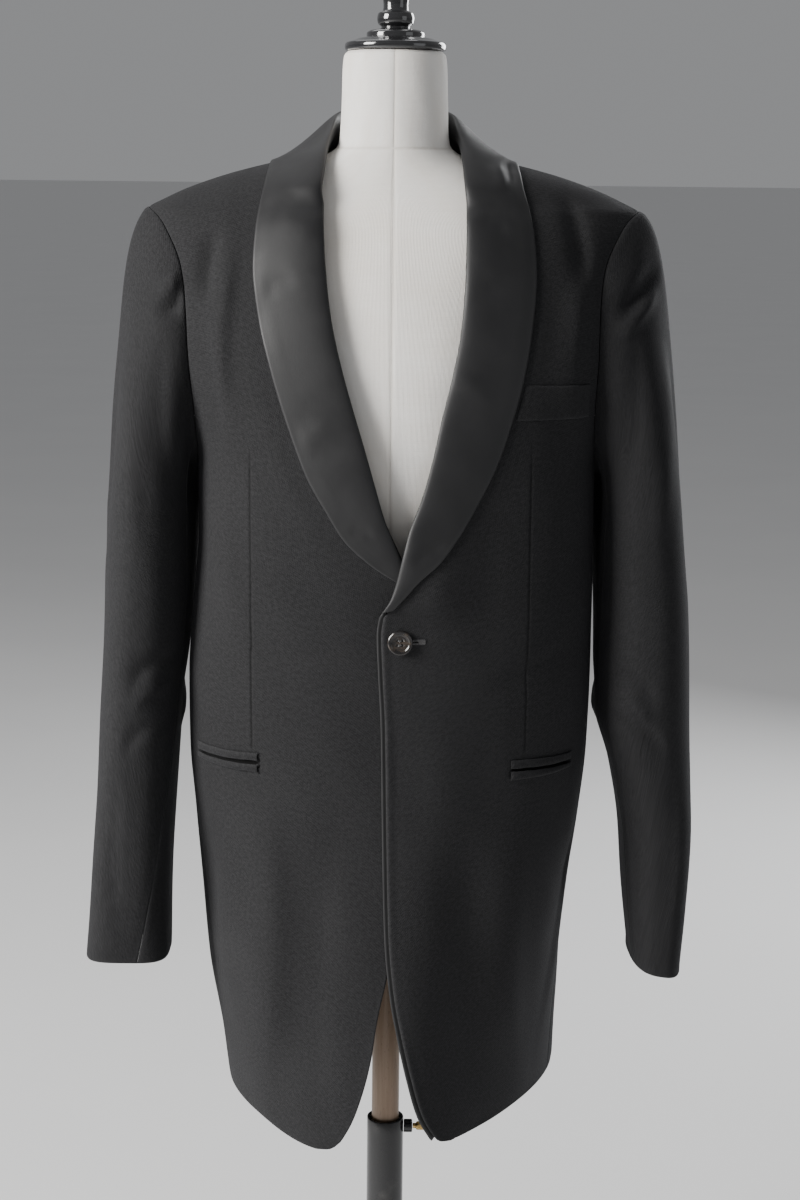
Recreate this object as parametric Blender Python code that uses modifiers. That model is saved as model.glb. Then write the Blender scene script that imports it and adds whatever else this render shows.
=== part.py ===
"""A man's single-button dinner jacket with a satin shawl collar, worn by a limbless dress form.

The form stands on a pole that slides and turns in the tube of a round-based stand. Metres, +Z up. The
origin is the middle of the base's underside, the jacket faces -Y, and the wearer's left is +X. Every cloth
piece is a patch of one closed body surface, or of a sleeve or collar surface, walled on its inner side.
"""

import math
from typing import Callable, NamedTuple

import bmesh
import bpy
import numpy as np

# ---------------------------------------------------------------- driving sizes
WOOL = 0.0016  # cloth wall of the fronts, backs, sides and sleeves
SATIN = 0.0014  # cloth wall of the collar
FACING = 0.0011  # cloth wall of the strip along the front edge
JET = 0.0012  # cloth wall of the pocket jets and the welt
SEAM_GAP = 0.0004  # between two pieces sewn together
RIDGE_GAP = 0.0014  # along the shoulder seam, where the two walls lean towards each other
CORNER_GAP = 0.0009  # at the back seams, which lean in less
SLEEVE_GAP = 0.0024  # and at the sleeve seams, which turn sharply
LAY_GAP = 0.0004  # between a piece and what lies on it
HEM_Z = 0.5375
FADE_HEIGHT = 0.12  # above the hem, where its dips die away
SHOULDER_Z = 1.397
SIDE_SEAM_FRONT = 82.0  # degrees round the body from centre front
SIDE_SEAM_BACK = 126.0
ARMHOLE_MID_Z = 1.275
ARMHOLE_TOP = SHOULDER_Z - ARMHOLE_MID_Z
ARMHOLE_DROP = 0.110
ARMHOLE_FRONT = 0.074
ARMHOLE_BACK = 0.082
SLEEVE_JOIN_Z = 1.126  # where the sleeve head has become an upright tube
OVERLAP_LIFT = 0.0045  # the buttoned front stands this far off the one below
BREAK_LIFT = 0.0052  # and this much more where the lapels cross
BUTTON_THICK = 0.0036
BUTTON_X, BUTTON_Z = 0.0097, 1.0234
BUTTON_HOLE_RADIUS, BUTTON_HOLE_OUT = 0.0009, 0.0019
POCKET_RIGHT = (0.1180, 0.1760, 0.9020)  # where a hip pocket's mouth starts and stops across, and its height
POCKET_LEFT = (0.1110, 0.1690, 0.8980)
POLE_RADIUS = 0.0135
POLE_BOTTOM, POLE_TOP = 0.150, 0.7397
TUBE_OUTER, TUBE_INNER = 0.0180, 0.0139
TUBE_BOTTOM, TUBE_TOP = 0.0203, 0.5110
BASE_RADIUS, BASE_THICK = 0.185, 0.020
FORM_BOTTOM = 0.740
CAP_Z = 1.5370
BOSS_RADIUS, BOSS_LENGTH, BOSS_Z = 0.0065, 0.0085, 0.5005


class BodyRing(NamedTuple):
    """One level of the jacket's outer face, for the wearer's right and left halves."""

    z: float
    right: float  # half-width
    left: float
    front: float  # y of centre front
    back: float  # y of centre back
    mid_right: float  # y of the widest place
    mid_left: float
    pow_right: float  # squareness of the front quadrant
    pow_left: float
    pow_back: float


BODY = (
    BodyRing(0.520, 0.1540, 0.1690, -0.128, 0.135, 0.040, 0.090, 1.70, 1.50, 2.4),
    BodyRing(0.600, 0.1640, 0.1700, -0.128, 0.133, 0.035, 0.070, 1.75, 1.60, 2.4),
    BodyRing(0.680, 0.1755, 0.1715, -0.128, 0.130, 0.025, 0.045, 1.90, 1.80, 2.4),
    BodyRing(0.760, 0.1805, 0.1760, -0.128, 0.125, 0.018, 0.025, 2.10, 2.00, 2.4),
    BodyRing(0.830, 0.1850, 0.1830, -0.127, 0.118, 0.010, 0.012, 2.25, 2.20, 2.4),
    BodyRing(0.900, 0.1890, 0.1885, -0.127, 0.109, 0.004, 0.004, 2.40, 2.35, 2.4),
    BodyRing(0.970, 0.1890, 0.1895, -0.129, 0.100, 0.0, 0.0, 2.50, 2.50, 2.4),
    BodyRing(1.040, 0.1840, 0.1895, -0.132, 0.097, 0.0, 0.0, 2.50, 2.50, 2.4),
    BodyRing(1.110, 0.1790, 0.1880, -0.135, 0.103, 0.0, 0.0, 2.50, 2.50, 2.4),
    BodyRing(1.170, 0.1790, 0.1880, -0.136, 0.111, 0.0, 0.0, 2.50, 2.50, 2.4),
    BodyRing(1.210, 0.1870, 0.1930, -0.133, 0.115, 0.0, 0.0, 2.60, 2.60, 2.5),
    BodyRing(1.260, 0.2010, 0.2040, -0.126, 0.116, 0.0, 0.0, 2.65, 2.65, 2.6),
    BodyRing(1.310, 0.2120, 0.2130, -0.115, 0.112, 0.0, 0.0, 2.50, 2.50, 2.5),
    BodyRing(1.350, 0.2170, 0.2170, -0.104, 0.106, 0.0, 0.0, 2.30, 2.30, 2.3),
    BodyRing(1.380, 0.2235, 0.2235, -0.091, 0.098, 0.0, 0.0, 2.05, 2.05, 2.0),
    BodyRing(1.397, 0.2240, 0.2240, -0.080, 0.091, 0.0, 0.0, 1.85, 1.85, 1.8),
    BodyRing(1.403, 0.2120, 0.2120, -0.0755, 0.088, 0.0, 0.0, 1.80, 1.80, 1.8),
    BodyRing(1.410, 0.1980, 0.1980, -0.071, 0.084, 0.0, 0.0, 1.80, 1.80, 1.8),
    BodyRing(1.420, 0.1730, 0.1730, -0.064, 0.079, 0.0, 0.0, 1.80, 1.80, 1.8),
    BodyRing(1.430, 0.1420, 0.1420, -0.056, 0.073, 0.0, 0.0, 1.80, 1.80, 1.8),
    BodyRing(1.4375, 0.1120, 0.1120, -0.048, 0.068, 0.0, 0.0, 1.85, 1.85, 1.85),
    BodyRing(1.444, 0.0850, 0.0850, -0.040, 0.062, 0.0, 0.0, 1.90, 1.90, 1.9),
    BodyRing(1.451, 0.0680, 0.0680, -0.034, 0.056, 0.0, 0.0, 1.90, 1.90, 1.9),
)


class HemDip(NamedTuple):
    """How high the hem hangs, by degrees round the body from centre front."""

    degrees: float
    right: float
    left: float


HEM = (
    HemDip(0.0, 0.5245, 0.5330),
    HemDip(28.0, 0.5250, 0.5325),
    HemDip(60.0, 0.5365, 0.5360),
    HemDip(82.0, 0.5400, 0.5370),
    HemDip(126.0, 0.5410, 0.5395),
    HemDip(180.0, 0.5410, 0.5410),
)


class EdgePoint(NamedTuple):
    """A point of a front's inner boundary: its height, and how far it lies to the wearer's left of centre."""

    z: float
    x: float


EDGE_LEFT = (
    EdgePoint(0.5375, 0.0600),
    EdgePoint(0.5405, 0.0500),
    EdgePoint(0.5530, 0.0405),
    EdgePoint(0.5710, 0.0320),
    EdgePoint(0.6055, 0.0225),
    EdgePoint(0.6445, 0.0140),
    EdgePoint(0.6865, 0.0065),
    EdgePoint(0.7455, 0.0010),
    EdgePoint(0.8500, -0.0020),
    EdgePoint(0.9465, -0.0040),
    EdgePoint(0.9930, -0.0065),
    EdgePoint(1.0285, -0.0080),
    EdgePoint(1.0440, -0.0060),
    EdgePoint(1.0600, 0.0070),
    EdgePoint(1.0800, 0.0110),
    EdgePoint(1.1000, 0.0150),
    EdgePoint(1.1510, 0.0325),
    EdgePoint(1.2205, 0.0495),
    EdgePoint(1.2970, 0.0655),
    EdgePoint(1.3475, 0.0690),
    EdgePoint(1.3850, 0.0720),
    EdgePoint(1.4150, 0.0770),
    EdgePoint(1.4300, 0.0780),
    EdgePoint(1.4450, 0.0760),
)

EDGE_RIGHT = (
    EdgePoint(0.5375, -0.0660),
    EdgePoint(0.5410, -0.0520),
    EdgePoint(0.5585, -0.0365),
    EdgePoint(0.5900, -0.0230),
    EdgePoint(0.6255, -0.0135),
    EdgePoint(0.6660, -0.0070),
    EdgePoint(0.7000, 0.0000),
    EdgePoint(0.7500, 0.0095),
    EdgePoint(0.8200, 0.0190),
    EdgePoint(0.9000, 0.0260),
    EdgePoint(0.9700, 0.0290),
    EdgePoint(1.0300, 0.0290),
    EdgePoint(1.0560, 0.0225),
    EdgePoint(1.0750, 0.0140),
    EdgePoint(1.0975, 0.0055),
    EdgePoint(1.1315, -0.0100),
    EdgePoint(1.1930, -0.0280),
    EdgePoint(1.2530, -0.0460),
    EdgePoint(1.3120, -0.0595),
    EdgePoint(1.3630, -0.0665),
    EdgePoint(1.4055, -0.0750),
    EdgePoint(1.4300, -0.0780),
    EdgePoint(1.4450, -0.0760),
)


class CollarStation(NamedTuple):
    """One section across a lapel, listed from the front break up the roll line to the shoulder."""

    roll: tuple[float, float]  # out from centre, and up
    edge: tuple[float, float]
    leg: float  # length of the part turned in, as a share of the width
    rise: float  # how round the fold is
    belly: float  # how full the fall is


LAPEL_LEFT = (
    CollarStation((-0.0066, 1.0500), (0.0035, 1.0530), 0.80, 0.0042, 0.0030),
    CollarStation((0.0005, 1.0620), (0.0140, 1.0650), 0.65, 0.0044, 0.0032),
    CollarStation((0.0058, 1.0780), (0.0262, 1.0795), 0.45, 0.0046, 0.0034),
    CollarStation((0.0107, 1.0990), (0.0430, 1.0955), 0.30, 0.0048, 0.0040),
    CollarStation((0.0165, 1.1230), (0.0600, 1.1185), 0.25, 0.0050, 0.0046),
    CollarStation((0.0270, 1.1510), (0.0770, 1.1475), 0.25, 0.0052, 0.0052),
    CollarStation((0.0365, 1.1860), (0.0925, 1.1790), 0.24, 0.0053, 0.0058),
    CollarStation((0.0440, 1.2205), (0.1030, 1.2095), 0.24, 0.0054, 0.0064),
    CollarStation((0.0535, 1.2600), (0.1145, 1.2520), 0.24, 0.0052, 0.0066),
    CollarStation((0.0600, 1.2970), (0.1215, 1.2930), 0.24, 0.0054, 0.0070),
    CollarStation((0.0635, 1.3475), (0.1255, 1.3410), 0.24, 0.0056, 0.0074),
    CollarStation((0.0640, 1.3850), (0.1230, 1.3790), 0.24, 0.0058, 0.0076),
    CollarStation((0.0640, 1.4010), (0.1198, 1.3970), 0.24, 0.0060, 0.0078),
)

LAPEL_RIGHT = (
    CollarStation((-0.0195, 1.0740), (-0.0070, 1.0760), 0.60, 0.0034, 0.0020),
    CollarStation((-0.0107, 1.0975), (0.0130, 1.0885), 0.40, 0.0036, 0.0024),
    CollarStation((0.0045, 1.1315), (0.0400, 1.1125), 0.28, 0.0044, 0.0038),
    CollarStation((0.0135, 1.1620), (0.0570, 1.1395), 0.25, 0.0050, 0.0048),
    CollarStation((0.0225, 1.1930), (0.0725, 1.1665), 0.25, 0.0052, 0.0054),
    CollarStation((0.0405, 1.2530), (0.0965, 1.2310), 0.24, 0.0052, 0.0060),
    CollarStation((0.0480, 1.2820), (0.1065, 1.2640), 0.24, 0.0053, 0.0066),
    CollarStation((0.0540, 1.3120), (0.1155, 1.2990), 0.24, 0.0054, 0.0070),
    CollarStation((0.0595, 1.3630), (0.1222, 1.3480), 0.24, 0.0056, 0.0074),
    CollarStation((0.0606, 1.3860), (0.1208, 1.3780), 0.24, 0.0058, 0.0076),
    CollarStation((0.0610, 1.4010), (0.1185, 1.3965), 0.24, 0.0060, 0.0078),
)


class NeckStation(NamedTuple):
    """A section of the collar round the neck: x outward, y and z of the leg, the roll and the outer edge."""

    leg: tuple[float, float, float]
    roll: tuple[float, float, float]
    edge: tuple[float, float, float]
    rise: float
    belly: float


NECK = (
    NeckStation((0.0765, -0.062, 1.4050), (0.0630, -0.068, 1.4150), (0.1165, -0.056, 1.4125), 0.0062, 0.0066),
    NeckStation((0.0720, -0.0455, 1.4245), (0.061, -0.047, 1.4365), (0.1130, -0.033, 1.4310), 0.0066, 0.0048),
    NeckStation((0.0690, -0.024, 1.4405), (0.0590, -0.0245, 1.454), (0.1110, -0.010, 1.4400), 0.0064, 0.0028),
    NeckStation((0.0660, 0.0000, 1.4475), (0.0555, -0.001, 1.4690), (0.1085, 0.0140, 1.4395), 0.0062, 0.0014),
    NeckStation((0.0615, 0.0210, 1.4480), (0.0525, 0.0210, 1.4800), (0.1020, 0.0370, 1.4360), 0.0064, 0.0024),
    NeckStation((0.0510, 0.0400, 1.4470), (0.0455, 0.0430, 1.4855), (0.0860, 0.0610, 1.4295), 0.0066, 0.0048),
    NeckStation((0.0340, 0.0555, 1.4440), (0.0305, 0.0600, 1.4875), (0.0580, 0.0800, 1.4225), 0.0068, 0.0060),
    NeckStation((0.0170, 0.0620, 1.4420), (0.0150, 0.0675, 1.4880), (0.0290, 0.0875, 1.4195), 0.0066, 0.0060),
    NeckStation((0.0002, 0.0640, 1.4415), (0.0002, 0.0695, 1.4880), (0.0002, 0.0895, 1.4185), 0.0066, 0.0060),
)


class SleeveRing(NamedTuple):
    """One level of a sleeve, x outward from the body's centre; seam angles are 0 outside and 90 in front."""

    z: float
    inner: float
    outer: float
    front: float
    back: float
    power: float
    shear: float  # how far the front leans outward
    seam_front: float
    seam_back: float


SLEEVE_RIGHT = (
    SleeveRing(1.126, 0.1815, 0.2640, -0.083, 0.080, 2.30, 0.00, 148.0, 255.0),
    SleeveRing(1.030, 0.1870, 0.2675, -0.081, 0.074, 2.35, 0.00, 156.0, 255.0),
    SleeveRing(0.933, 0.1965, 0.2725, -0.076, 0.063, 2.50, 0.00, 155.0, 252.0),
    SleeveRing(0.834, 0.2035, 0.2780, -0.070, 0.048, 2.70, 0.00, 138.0, 244.0),
    SleeveRing(0.733, 0.2085, 0.2855, -0.062, 0.030, 3.10, 0.00, 117.0, 230.0),
    SleeveRing(0.690, 0.2095, 0.2890, -0.058, 0.022, 3.50, 0.00, 107.0, 222.0),
)

SLEEVE_LEFT = (
    SleeveRing(1.126, 0.1925, 0.2710, -0.083, 0.080, 2.30, 0.00, 148.0, 255.0),
    SleeveRing(1.036, 0.1940, 0.2795, -0.082, 0.076, 2.35, 0.00, 156.0, 255.0),
    SleeveRing(0.935, 0.1950, 0.2840, -0.078, 0.070, 2.40, 0.00, 160.0, 256.0),
    SleeveRing(0.875, 0.2110, 0.2860, -0.073, 0.065, 2.45, 0.02, 162.0, 258.0),
    SleeveRing(0.815, 0.2230, 0.2880, -0.068, 0.061, 2.50, 0.04, 162.0, 262.0),
    SleeveRing(0.745, 0.2290, 0.2860, -0.064, 0.056, 2.60, 0.05, 160.0, 266.0),
    SleeveRing(0.684, 0.2355, 0.2820, -0.060, 0.050, 2.70, 0.05, 158.0, 268.0),
)


class FormRing(NamedTuple):
    """One level of the padded form."""

    z: float
    half: float
    front: float
    back: float
    power: float


FORM = (
    FormRing(FORM_BOTTOM, 0.1360, -0.084, 0.092, 2.1),
    FormRing(0.7430, 0.1460, -0.093, 0.101, 2.1),
    FormRing(0.7520, 0.1520, -0.098, 0.106, 2.1),
    FormRing(0.8000, 0.1580, -0.103, 0.108, 2.1),
    FormRing(0.8700, 0.1590, -0.105, 0.101, 2.1),
    FormRing(0.9400, 0.1520, -0.104, 0.092, 2.1),
    FormRing(1.0200, 0.1440, -0.106, 0.083, 2.1),
    FormRing(1.1000, 0.1520, -0.114, 0.090, 2.1),
    FormRing(1.1800, 0.1600, -0.1195, 0.098, 2.1),
    FormRing(1.2500, 0.1640, -0.1155, 0.101, 2.1),
    FormRing(1.3100, 0.1740, -0.1040, 0.099, 2.1),
    FormRing(1.3500, 0.1880, -0.0930, 0.093, 2.1),
    FormRing(1.3780, 0.1950, -0.0790, 0.084, 2.1),
    FormRing(1.3930, 0.1860, -0.0700, 0.077, 2.0),
    FormRing(1.4050, 0.1640, -0.0630, 0.073, 1.95),
    FormRing(1.4180, 0.1320, -0.0570, 0.067, 1.9),
    FormRing(1.4300, 0.0980, -0.0520, 0.061, 1.9),
    FormRing(1.4400, 0.0720, -0.0495, 0.056, 1.95),
    FormRing(1.4480, 0.0565, -0.0480, 0.053, 2.0),
    FormRing(1.4560, 0.0500, -0.0470, 0.051, 2.0),
    FormRing(1.4900, 0.0480, -0.0460, 0.049, 2.0),
    FormRing(1.5250, 0.0468, -0.0450, 0.048, 2.0),
    FormRing(1.5330, 0.0455, -0.0438, 0.0468, 2.0),
    FormRing(1.5362, 0.0425, -0.0410, 0.0440, 2.0),
)

# Finial and cap, radius and height above the cap's underside
CAP_PROFILE = (
    (0.0, 0.1060), (0.0085, 0.1050), (0.0140, 0.1000), (0.0162, 0.0920), (0.0158, 0.0800),
    (0.0143, 0.0650), (0.0122, 0.0480), (0.0112, 0.0390), (0.0118, 0.0350), (0.0158, 0.0325),
    (0.0168, 0.0280), (0.0158, 0.0235), (0.0128, 0.0205), (0.0165, 0.0190), (0.0235, 0.0175),
    (0.0262, 0.0150), (0.0262, 0.0120), (0.0330, 0.0108), (0.0400, 0.0082), (0.0448, 0.0066),
    (0.0458, 0.0040), (0.0452, 0.0010), (0.0440, 0.0), (0.0, 0.0),
)
BASE_PROFILE = (
    (0.0, 0.0200), (0.0600, 0.0200), (0.1400, 0.0175), (0.1740, 0.0140), (0.1820, 0.0105),
    (0.1850, 0.0060), (0.1840, 0.0020), (0.1820, 0.0), (0.0, 0.0),
)
BUTTON_PROFILE = (
    (0.0, 0.0024), (0.0062, 0.0024), (0.0076, 0.0027), (0.0086, 0.0035), (0.0100, 0.0036),
    (0.0109, 0.0030), (0.01125, 0.0018), (0.0104, 0.0006), (0.0085, 0.0), (0.0, 0.0),
)


# ---------------------------------------------------------------- curves and surfaces
def monotone(knots, values, at):
    """Smooth curve through the values, level where they turn, so that it never runs past one of them."""
    knots, values = np.asarray(knots, float), np.asarray(values, float)
    at = np.clip(np.asarray(at, float), knots[0], knots[-1])
    step = np.diff(knots)
    slope = np.diff(values) / step
    before, after = slope[:-1], slope[1:]
    same = before * after > 0
    w_before, w_after = 2 * step[1:] + step[:-1], step[1:] + 2 * step[:-1]
    before, after = np.where(same, before, 1.0), np.where(same, after, 1.0)
    harmonic = (w_before + w_after) / (w_before / before + w_after / after)
    tangent = np.concatenate([slope[:1], np.where(same, harmonic, 0.0), slope[-1:]])
    i = np.clip(np.searchsorted(knots, at, side="right") - 1, 0, len(knots) - 2)
    h, t = step[i], (at - knots[i]) / step[i]
    return (
        values[i] * (1 + 2 * t) * (1 - t) ** 2
        + tangent[i] * h * t * (1 - t) ** 2
        + values[i + 1] * t * t * (3 - 2 * t)
        + tangent[i + 1] * h * t * t * (t - 1)
    )


def column(table, name, at, key="z"):
    """A named column of a table at any height, the rows taken in rising order of the key."""
    rows = sorted(table, key=lambda row: getattr(row, key))
    return monotone([getattr(row, key) for row in rows], [getattr(row, name) for row in rows], at)


def ring(z, left):
    """Half-width, widest y, centre-front y, centre-back y and the two powers at a height, for each side."""
    half = np.where(left, column(BODY, "left", z), column(BODY, "right", z))
    mid = np.where(left, column(BODY, "mid_left", z), column(BODY, "mid_right", z))
    power = np.where(left, column(BODY, "pow_left", z), column(BODY, "pow_right", z))
    return half, mid, column(BODY, "front", z), column(BODY, "back", z), power, column(BODY, "pow_back", z)


def face(tau, z):
    """Point of the body's outer face. tau runs round it in radians from centre front, left side positive."""
    tau, z = np.broadcast_arrays(np.asarray(tau, float), np.asarray(z, float))
    left = tau >= 0
    half, mid, front, back, pow_front, pow_back = ring(z, left)
    turn = np.abs(tau)
    ahead = turn <= math.pi / 2
    power = np.where(ahead, pow_front, pow_back)
    sine, cosine = np.abs(np.sin(turn)), np.abs(np.cos(turn))
    reach = (sine**power + cosine**power) ** (-1 / power)
    x = np.where(left, 1, -1) * half * reach * sine
    y = np.where(ahead, mid - (mid - front) * reach * cosine, mid + (back - mid) * reach * cosine)
    return np.stack([x, y, z], axis=-1)


def outward(surface, u, v, step=1e-4):
    """Unit normal of a surface by differences; its sense follows the turn from u to v."""
    du = surface(u + step, v) - surface(u - step, v)
    dv = surface(u, v + step) - surface(u, v - step)
    normal = np.cross(du, dv)
    return normal / np.linalg.norm(normal, axis=-1, keepdims=True)


def body(tau, z, lift=0.0):
    """Point at a lift above the body's outer face."""
    return face(tau, z) + outward(face, tau, z) * np.asarray(lift)[..., None]


def tau_at_x(x, z):
    """Turn round the front half at which the face lies a distance to the left of centre."""
    x, z = np.broadcast_arrays(np.asarray(x, float), np.asarray(z, float))
    half, _, _, _, power, _ = ring(z, x >= 0)
    across = np.clip(np.abs(x) / half, 0.0, 0.9999)
    return np.where(x >= 0, 1, -1) * np.arctan2(across, (1 - across**power) ** (1 / power))


def turn_at_y(y, z, left):
    """Unsigned turn at which one side of the face lies at y."""
    _, mid, front, back, pow_front, pow_back = ring(z, np.full(np.shape(z), left))
    ahead = y <= mid
    along = np.clip(np.where(ahead, (mid - y) / (mid - front), (y - mid) / (back - mid)), 0.0, 0.9999)
    power = np.where(ahead, pow_front, pow_back)
    turn = np.arctan2((1 - along**power) ** (1 / power), along)
    return np.where(ahead, turn, math.pi - turn)


def armhole_y(z, forward):
    """y of the armhole curve seen from the side, an egg standing on the underarm."""
    tall = np.where(z >= ARMHOLE_MID_Z, ARMHOLE_TOP, ARMHOLE_DROP)
    wide = np.sqrt(np.clip(1 - ((z - ARMHOLE_MID_Z) / tall) ** 2, 0, 1))
    return -ARMHOLE_FRONT * wide if forward else ARMHOLE_BACK * wide


def armhole(angle, left):
    """Point of the armhole, 0 at the shoulder point, 90 at the front, 180 at the underarm."""
    a = np.radians(angle)
    z = ARMHOLE_MID_Z + np.where(np.cos(a) >= 0, ARMHOLE_TOP, ARMHOLE_DROP) * np.cos(a)
    y = -np.where(np.sin(a) >= 0, ARMHOLE_FRONT, ARMHOLE_BACK) * np.sin(a)
    turn = turn_at_y(y, z, left)
    return face(turn if left else -turn, z)


def hem_drop(turn, z, left):
    """How far the cloth at this turn hangs above or below its nominal height."""
    dip = column(HEM, "left" if left else "right", np.degrees(turn), key="degrees") - HEM_Z
    return dip * np.clip(1 - (z - HEM_Z) / FADE_HEIGHT, 0, 1)


def overlap_lift(x, z):
    """How far the buttoned front stands off the face, most where the lapels cross."""
    near = monotone([-0.10, 0.035, 0.095, 0.2], [1.0, 1.0, 0.0, 0.0], x)
    crossing = monotone([0.9, 1.035, 1.060, 1.090, 1.16, 1.3], [0.0, 0.0, 1.0, 1.0, 0.0, 0.0], z)
    fade = monotone([0.5, 1.16, 1.24, 1.4], [1.0, 1.0, 0.0, 0.0], z)
    return near * fade * (OVERLAP_LIFT + BREAK_LIFT * crossing)


def signed(turn, left):
    return turn if left else -turn


# ---------------------------------------------------------------- building tools
def clear_scene() -> None:
    for found in list(bpy.data.objects):
        bpy.data.objects.remove(found, do_unlink=True)


def material(name, colour, roughness, metallic=0.0):
    made = bpy.data.materials.new(name)
    made.use_nodes = True
    shader = made.node_tree.nodes["Principled BSDF"]
    shader.inputs["Base Color"].default_value = (*colour, 1.0)
    shader.inputs["Roughness"].default_value = roughness
    shader.inputs["Metallic"].default_value = metallic
    made.diffuse_color = (*colour, 1.0)
    return made


def add(name, mesh, group, look, smooth=True):
    made = bpy.data.objects.new(name, mesh)
    group.objects.link(made)
    mesh.materials.append(look)
    mesh.shade_smooth() if smooth else mesh.shade_flat()
    return made


def cloth(name, across, along, shape: Callable, thick, group, look, axis=(0.0, 0.0)):
    """A grid laid on a surface, its wall given by Solidify on the side towards the axis."""
    grid = bmesh.new()
    bmesh.ops.create_grid(grid, x_segments=across, y_segments=along, size=0.5)
    at = np.array([vertex.co for vertex in grid.verts]) + 0.5
    placed = shape(at[:, 0], at[:, 1])
    for vertex, place in zip(grid.verts, placed):
        vertex.co = place
    grid.normal_update()
    away = sum(
        f.normal.x * (f.calc_center_median().x - axis[0]) + f.normal.y * (f.calc_center_median().y - axis[1])
        for f in grid.faces
    )
    if away < 0:
        bmesh.ops.reverse_faces(grid, faces=grid.faces)
    mesh = bpy.data.meshes.new(name)
    grid.to_mesh(mesh)
    grid.free()
    made = add(name, mesh, group, look)
    wall = made.modifiers.new("wall", "SOLIDIFY")
    wall.thickness = thick
    wall.offset = -1.0
    return made


def turned(name, profile, place, group, look, steps=48, axis="Z"):
    """A profile of radius and height, listed from its top down its outer side, turned about Z by Screw."""
    mesh = bpy.data.meshes.new(name)
    points = [(r, 0.0, h) for r, h in profile]
    mesh.from_pydata(points, [(i, i + 1) for i in range(len(points) - 1)], [])
    made = bpy.data.objects.new(name, mesh)
    group.objects.link(made)
    mesh.materials.append(look)
    screw = made.modifiers.new("turn", "SCREW")
    screw.steps = screw.render_steps = steps
    screw.use_merge_vertices = True
    screw.merge_threshold = 1e-5
    screw.use_smooth_shade = True
    made.location = place
    if axis == "X":
        made.rotation_euler = (0.0, math.pi / 2, 0.0)
    if axis == "-Y":
        made.rotation_euler = (math.pi / 2, 0.0, 0.0)
    return made


def spread(rows, v):
    """Height at a share of the way up a list of rows."""
    return np.interp(v * (len(rows) - 1), np.arange(len(rows)), rows)


# ---------------------------------------------------------------- the jacket's body
LOWER_ROWS = (HEM_Z, 0.541, 0.547, 0.556, 0.572, 0.600, 0.640, 0.690, 0.760, 0.830, 0.900, 0.970, 1.030)
UNDERARM_ROWS = (1.056, 1.085, 1.120, 1.165)
FRONT_CHEST_ROWS = (1.1755, 1.195, 1.230, 1.275, 1.320, 1.356, 1.378, 1.390, 1.3955, SHOULDER_Z)
BACK_CHEST_ROWS = (1.2030, 1.235, 1.275, 1.320, 1.356, 1.378, 1.390, 1.3955, SHOULDER_Z)
SHOULDER_ROWS = (1.4035, 1.411, 1.4195, 1.4280, 1.4350, 1.4405, 1.4450)


def front_rim(z, left):
    """Turn of a front's outer boundary: side seam, then armhole, then shoulder seam."""
    seam = np.full(np.shape(z), math.radians(SIDE_SEAM_FRONT))
    at_arm = turn_at_y(armhole_y(z, forward=True), z, left)
    above = z >= SHOULDER_Z - 1e-9
    lower = np.minimum(seam, at_arm)
    rim = np.where(z < ARMHOLE_MID_Z, np.where(z > ARMHOLE_MID_Z - ARMHOLE_DROP, lower, seam), at_arm)
    return np.where(above, math.pi / 2, rim)


def back_rim(z, left):
    """Turn of a back's outer boundary: side-back seam, then armhole, then shoulder seam."""
    seam = np.full(np.shape(z), math.radians(SIDE_SEAM_BACK))
    at_arm = turn_at_y(armhole_y(z, forward=False), z, left)
    above = z >= SHOULDER_Z - 1e-9
    lower = np.maximum(seam, at_arm)
    rim = np.where(z < ARMHOLE_MID_Z, np.where(z > ARMHOLE_MID_Z - ARMHOLE_DROP, lower, seam), at_arm)
    return np.where(above, math.pi / 2, rim)


def trim(turn, z, gap):
    """The turn that a gap on the face makes at this height."""
    here = face(turn, z)
    there = face(turn + 0.01, z)
    return gap * 0.01 / np.maximum(np.linalg.norm(there - here, axis=-1), 1e-6)


def front_patch(left):
    edge = EDGE_LEFT if left else EDGE_RIGHT
    rows = LOWER_ROWS + UNDERARM_ROWS + FRONT_CHEST_ROWS + SHOULDER_ROWS

    def shape(u, v):
        z = spread(rows, v)
        start = tau_at_x(column(edge, "x", z), z) * (1 if left else -1)
        rim = front_rim(z, left)
        rim = rim - trim(rim, z, np.where(z > ARMHOLE_MID_Z, RIDGE_GAP, SEAM_GAP) / 2)
        turn = start + (rim - start) * u
        high = z + hem_drop(np.abs(turn), z, left)
        tau = signed(turn, left)
        lift = overlap_lift(face(tau, high)[..., 0], high) if left else np.zeros_like(high)
        return body(tau, high, lift)

    return shape, len(rows) - 1


def side_patch(left):
    rows = LOWER_ROWS + UNDERARM_ROWS + (1.210,)
    ceiling = UNDERARM_ROWS[-2]

    def shape(u, v):
        turn = np.radians(SIDE_SEAM_FRONT + (SIDE_SEAM_BACK - SIDE_SEAM_FRONT) * u)
        gap = trim(turn, np.full_like(turn, 0.9), (SEAM_GAP + (CORNER_GAP - SEAM_GAP) * u) / 2)
        turn = turn + gap * (1 - 2 * u)
        top = np.full_like(turn, ARMHOLE_MID_Z - ARMHOLE_DROP)
        for _ in range(4):
            y = face(signed(turn, left), top)[..., 1]
            wide = np.where(y < 0, ARMHOLE_FRONT, ARMHOLE_BACK)
            top = ARMHOLE_MID_Z - ARMHOLE_DROP * np.sqrt(np.clip(1 - (y / wide) ** 2, 0, 1))
        base = spread(rows, v)
        middle = ceiling + np.minimum(UNDERARM_ROWS[-1] - ceiling, 0.8 * (top - ceiling))
        z = np.where(base > UNDERARM_ROWS[-1] + 1e-6, top, np.where(base > ceiling + 1e-6, middle, base))
        high = z + hem_drop(turn, z, left)
        return body(signed(turn, left), high)

    return shape, len(rows) - 1


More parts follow.
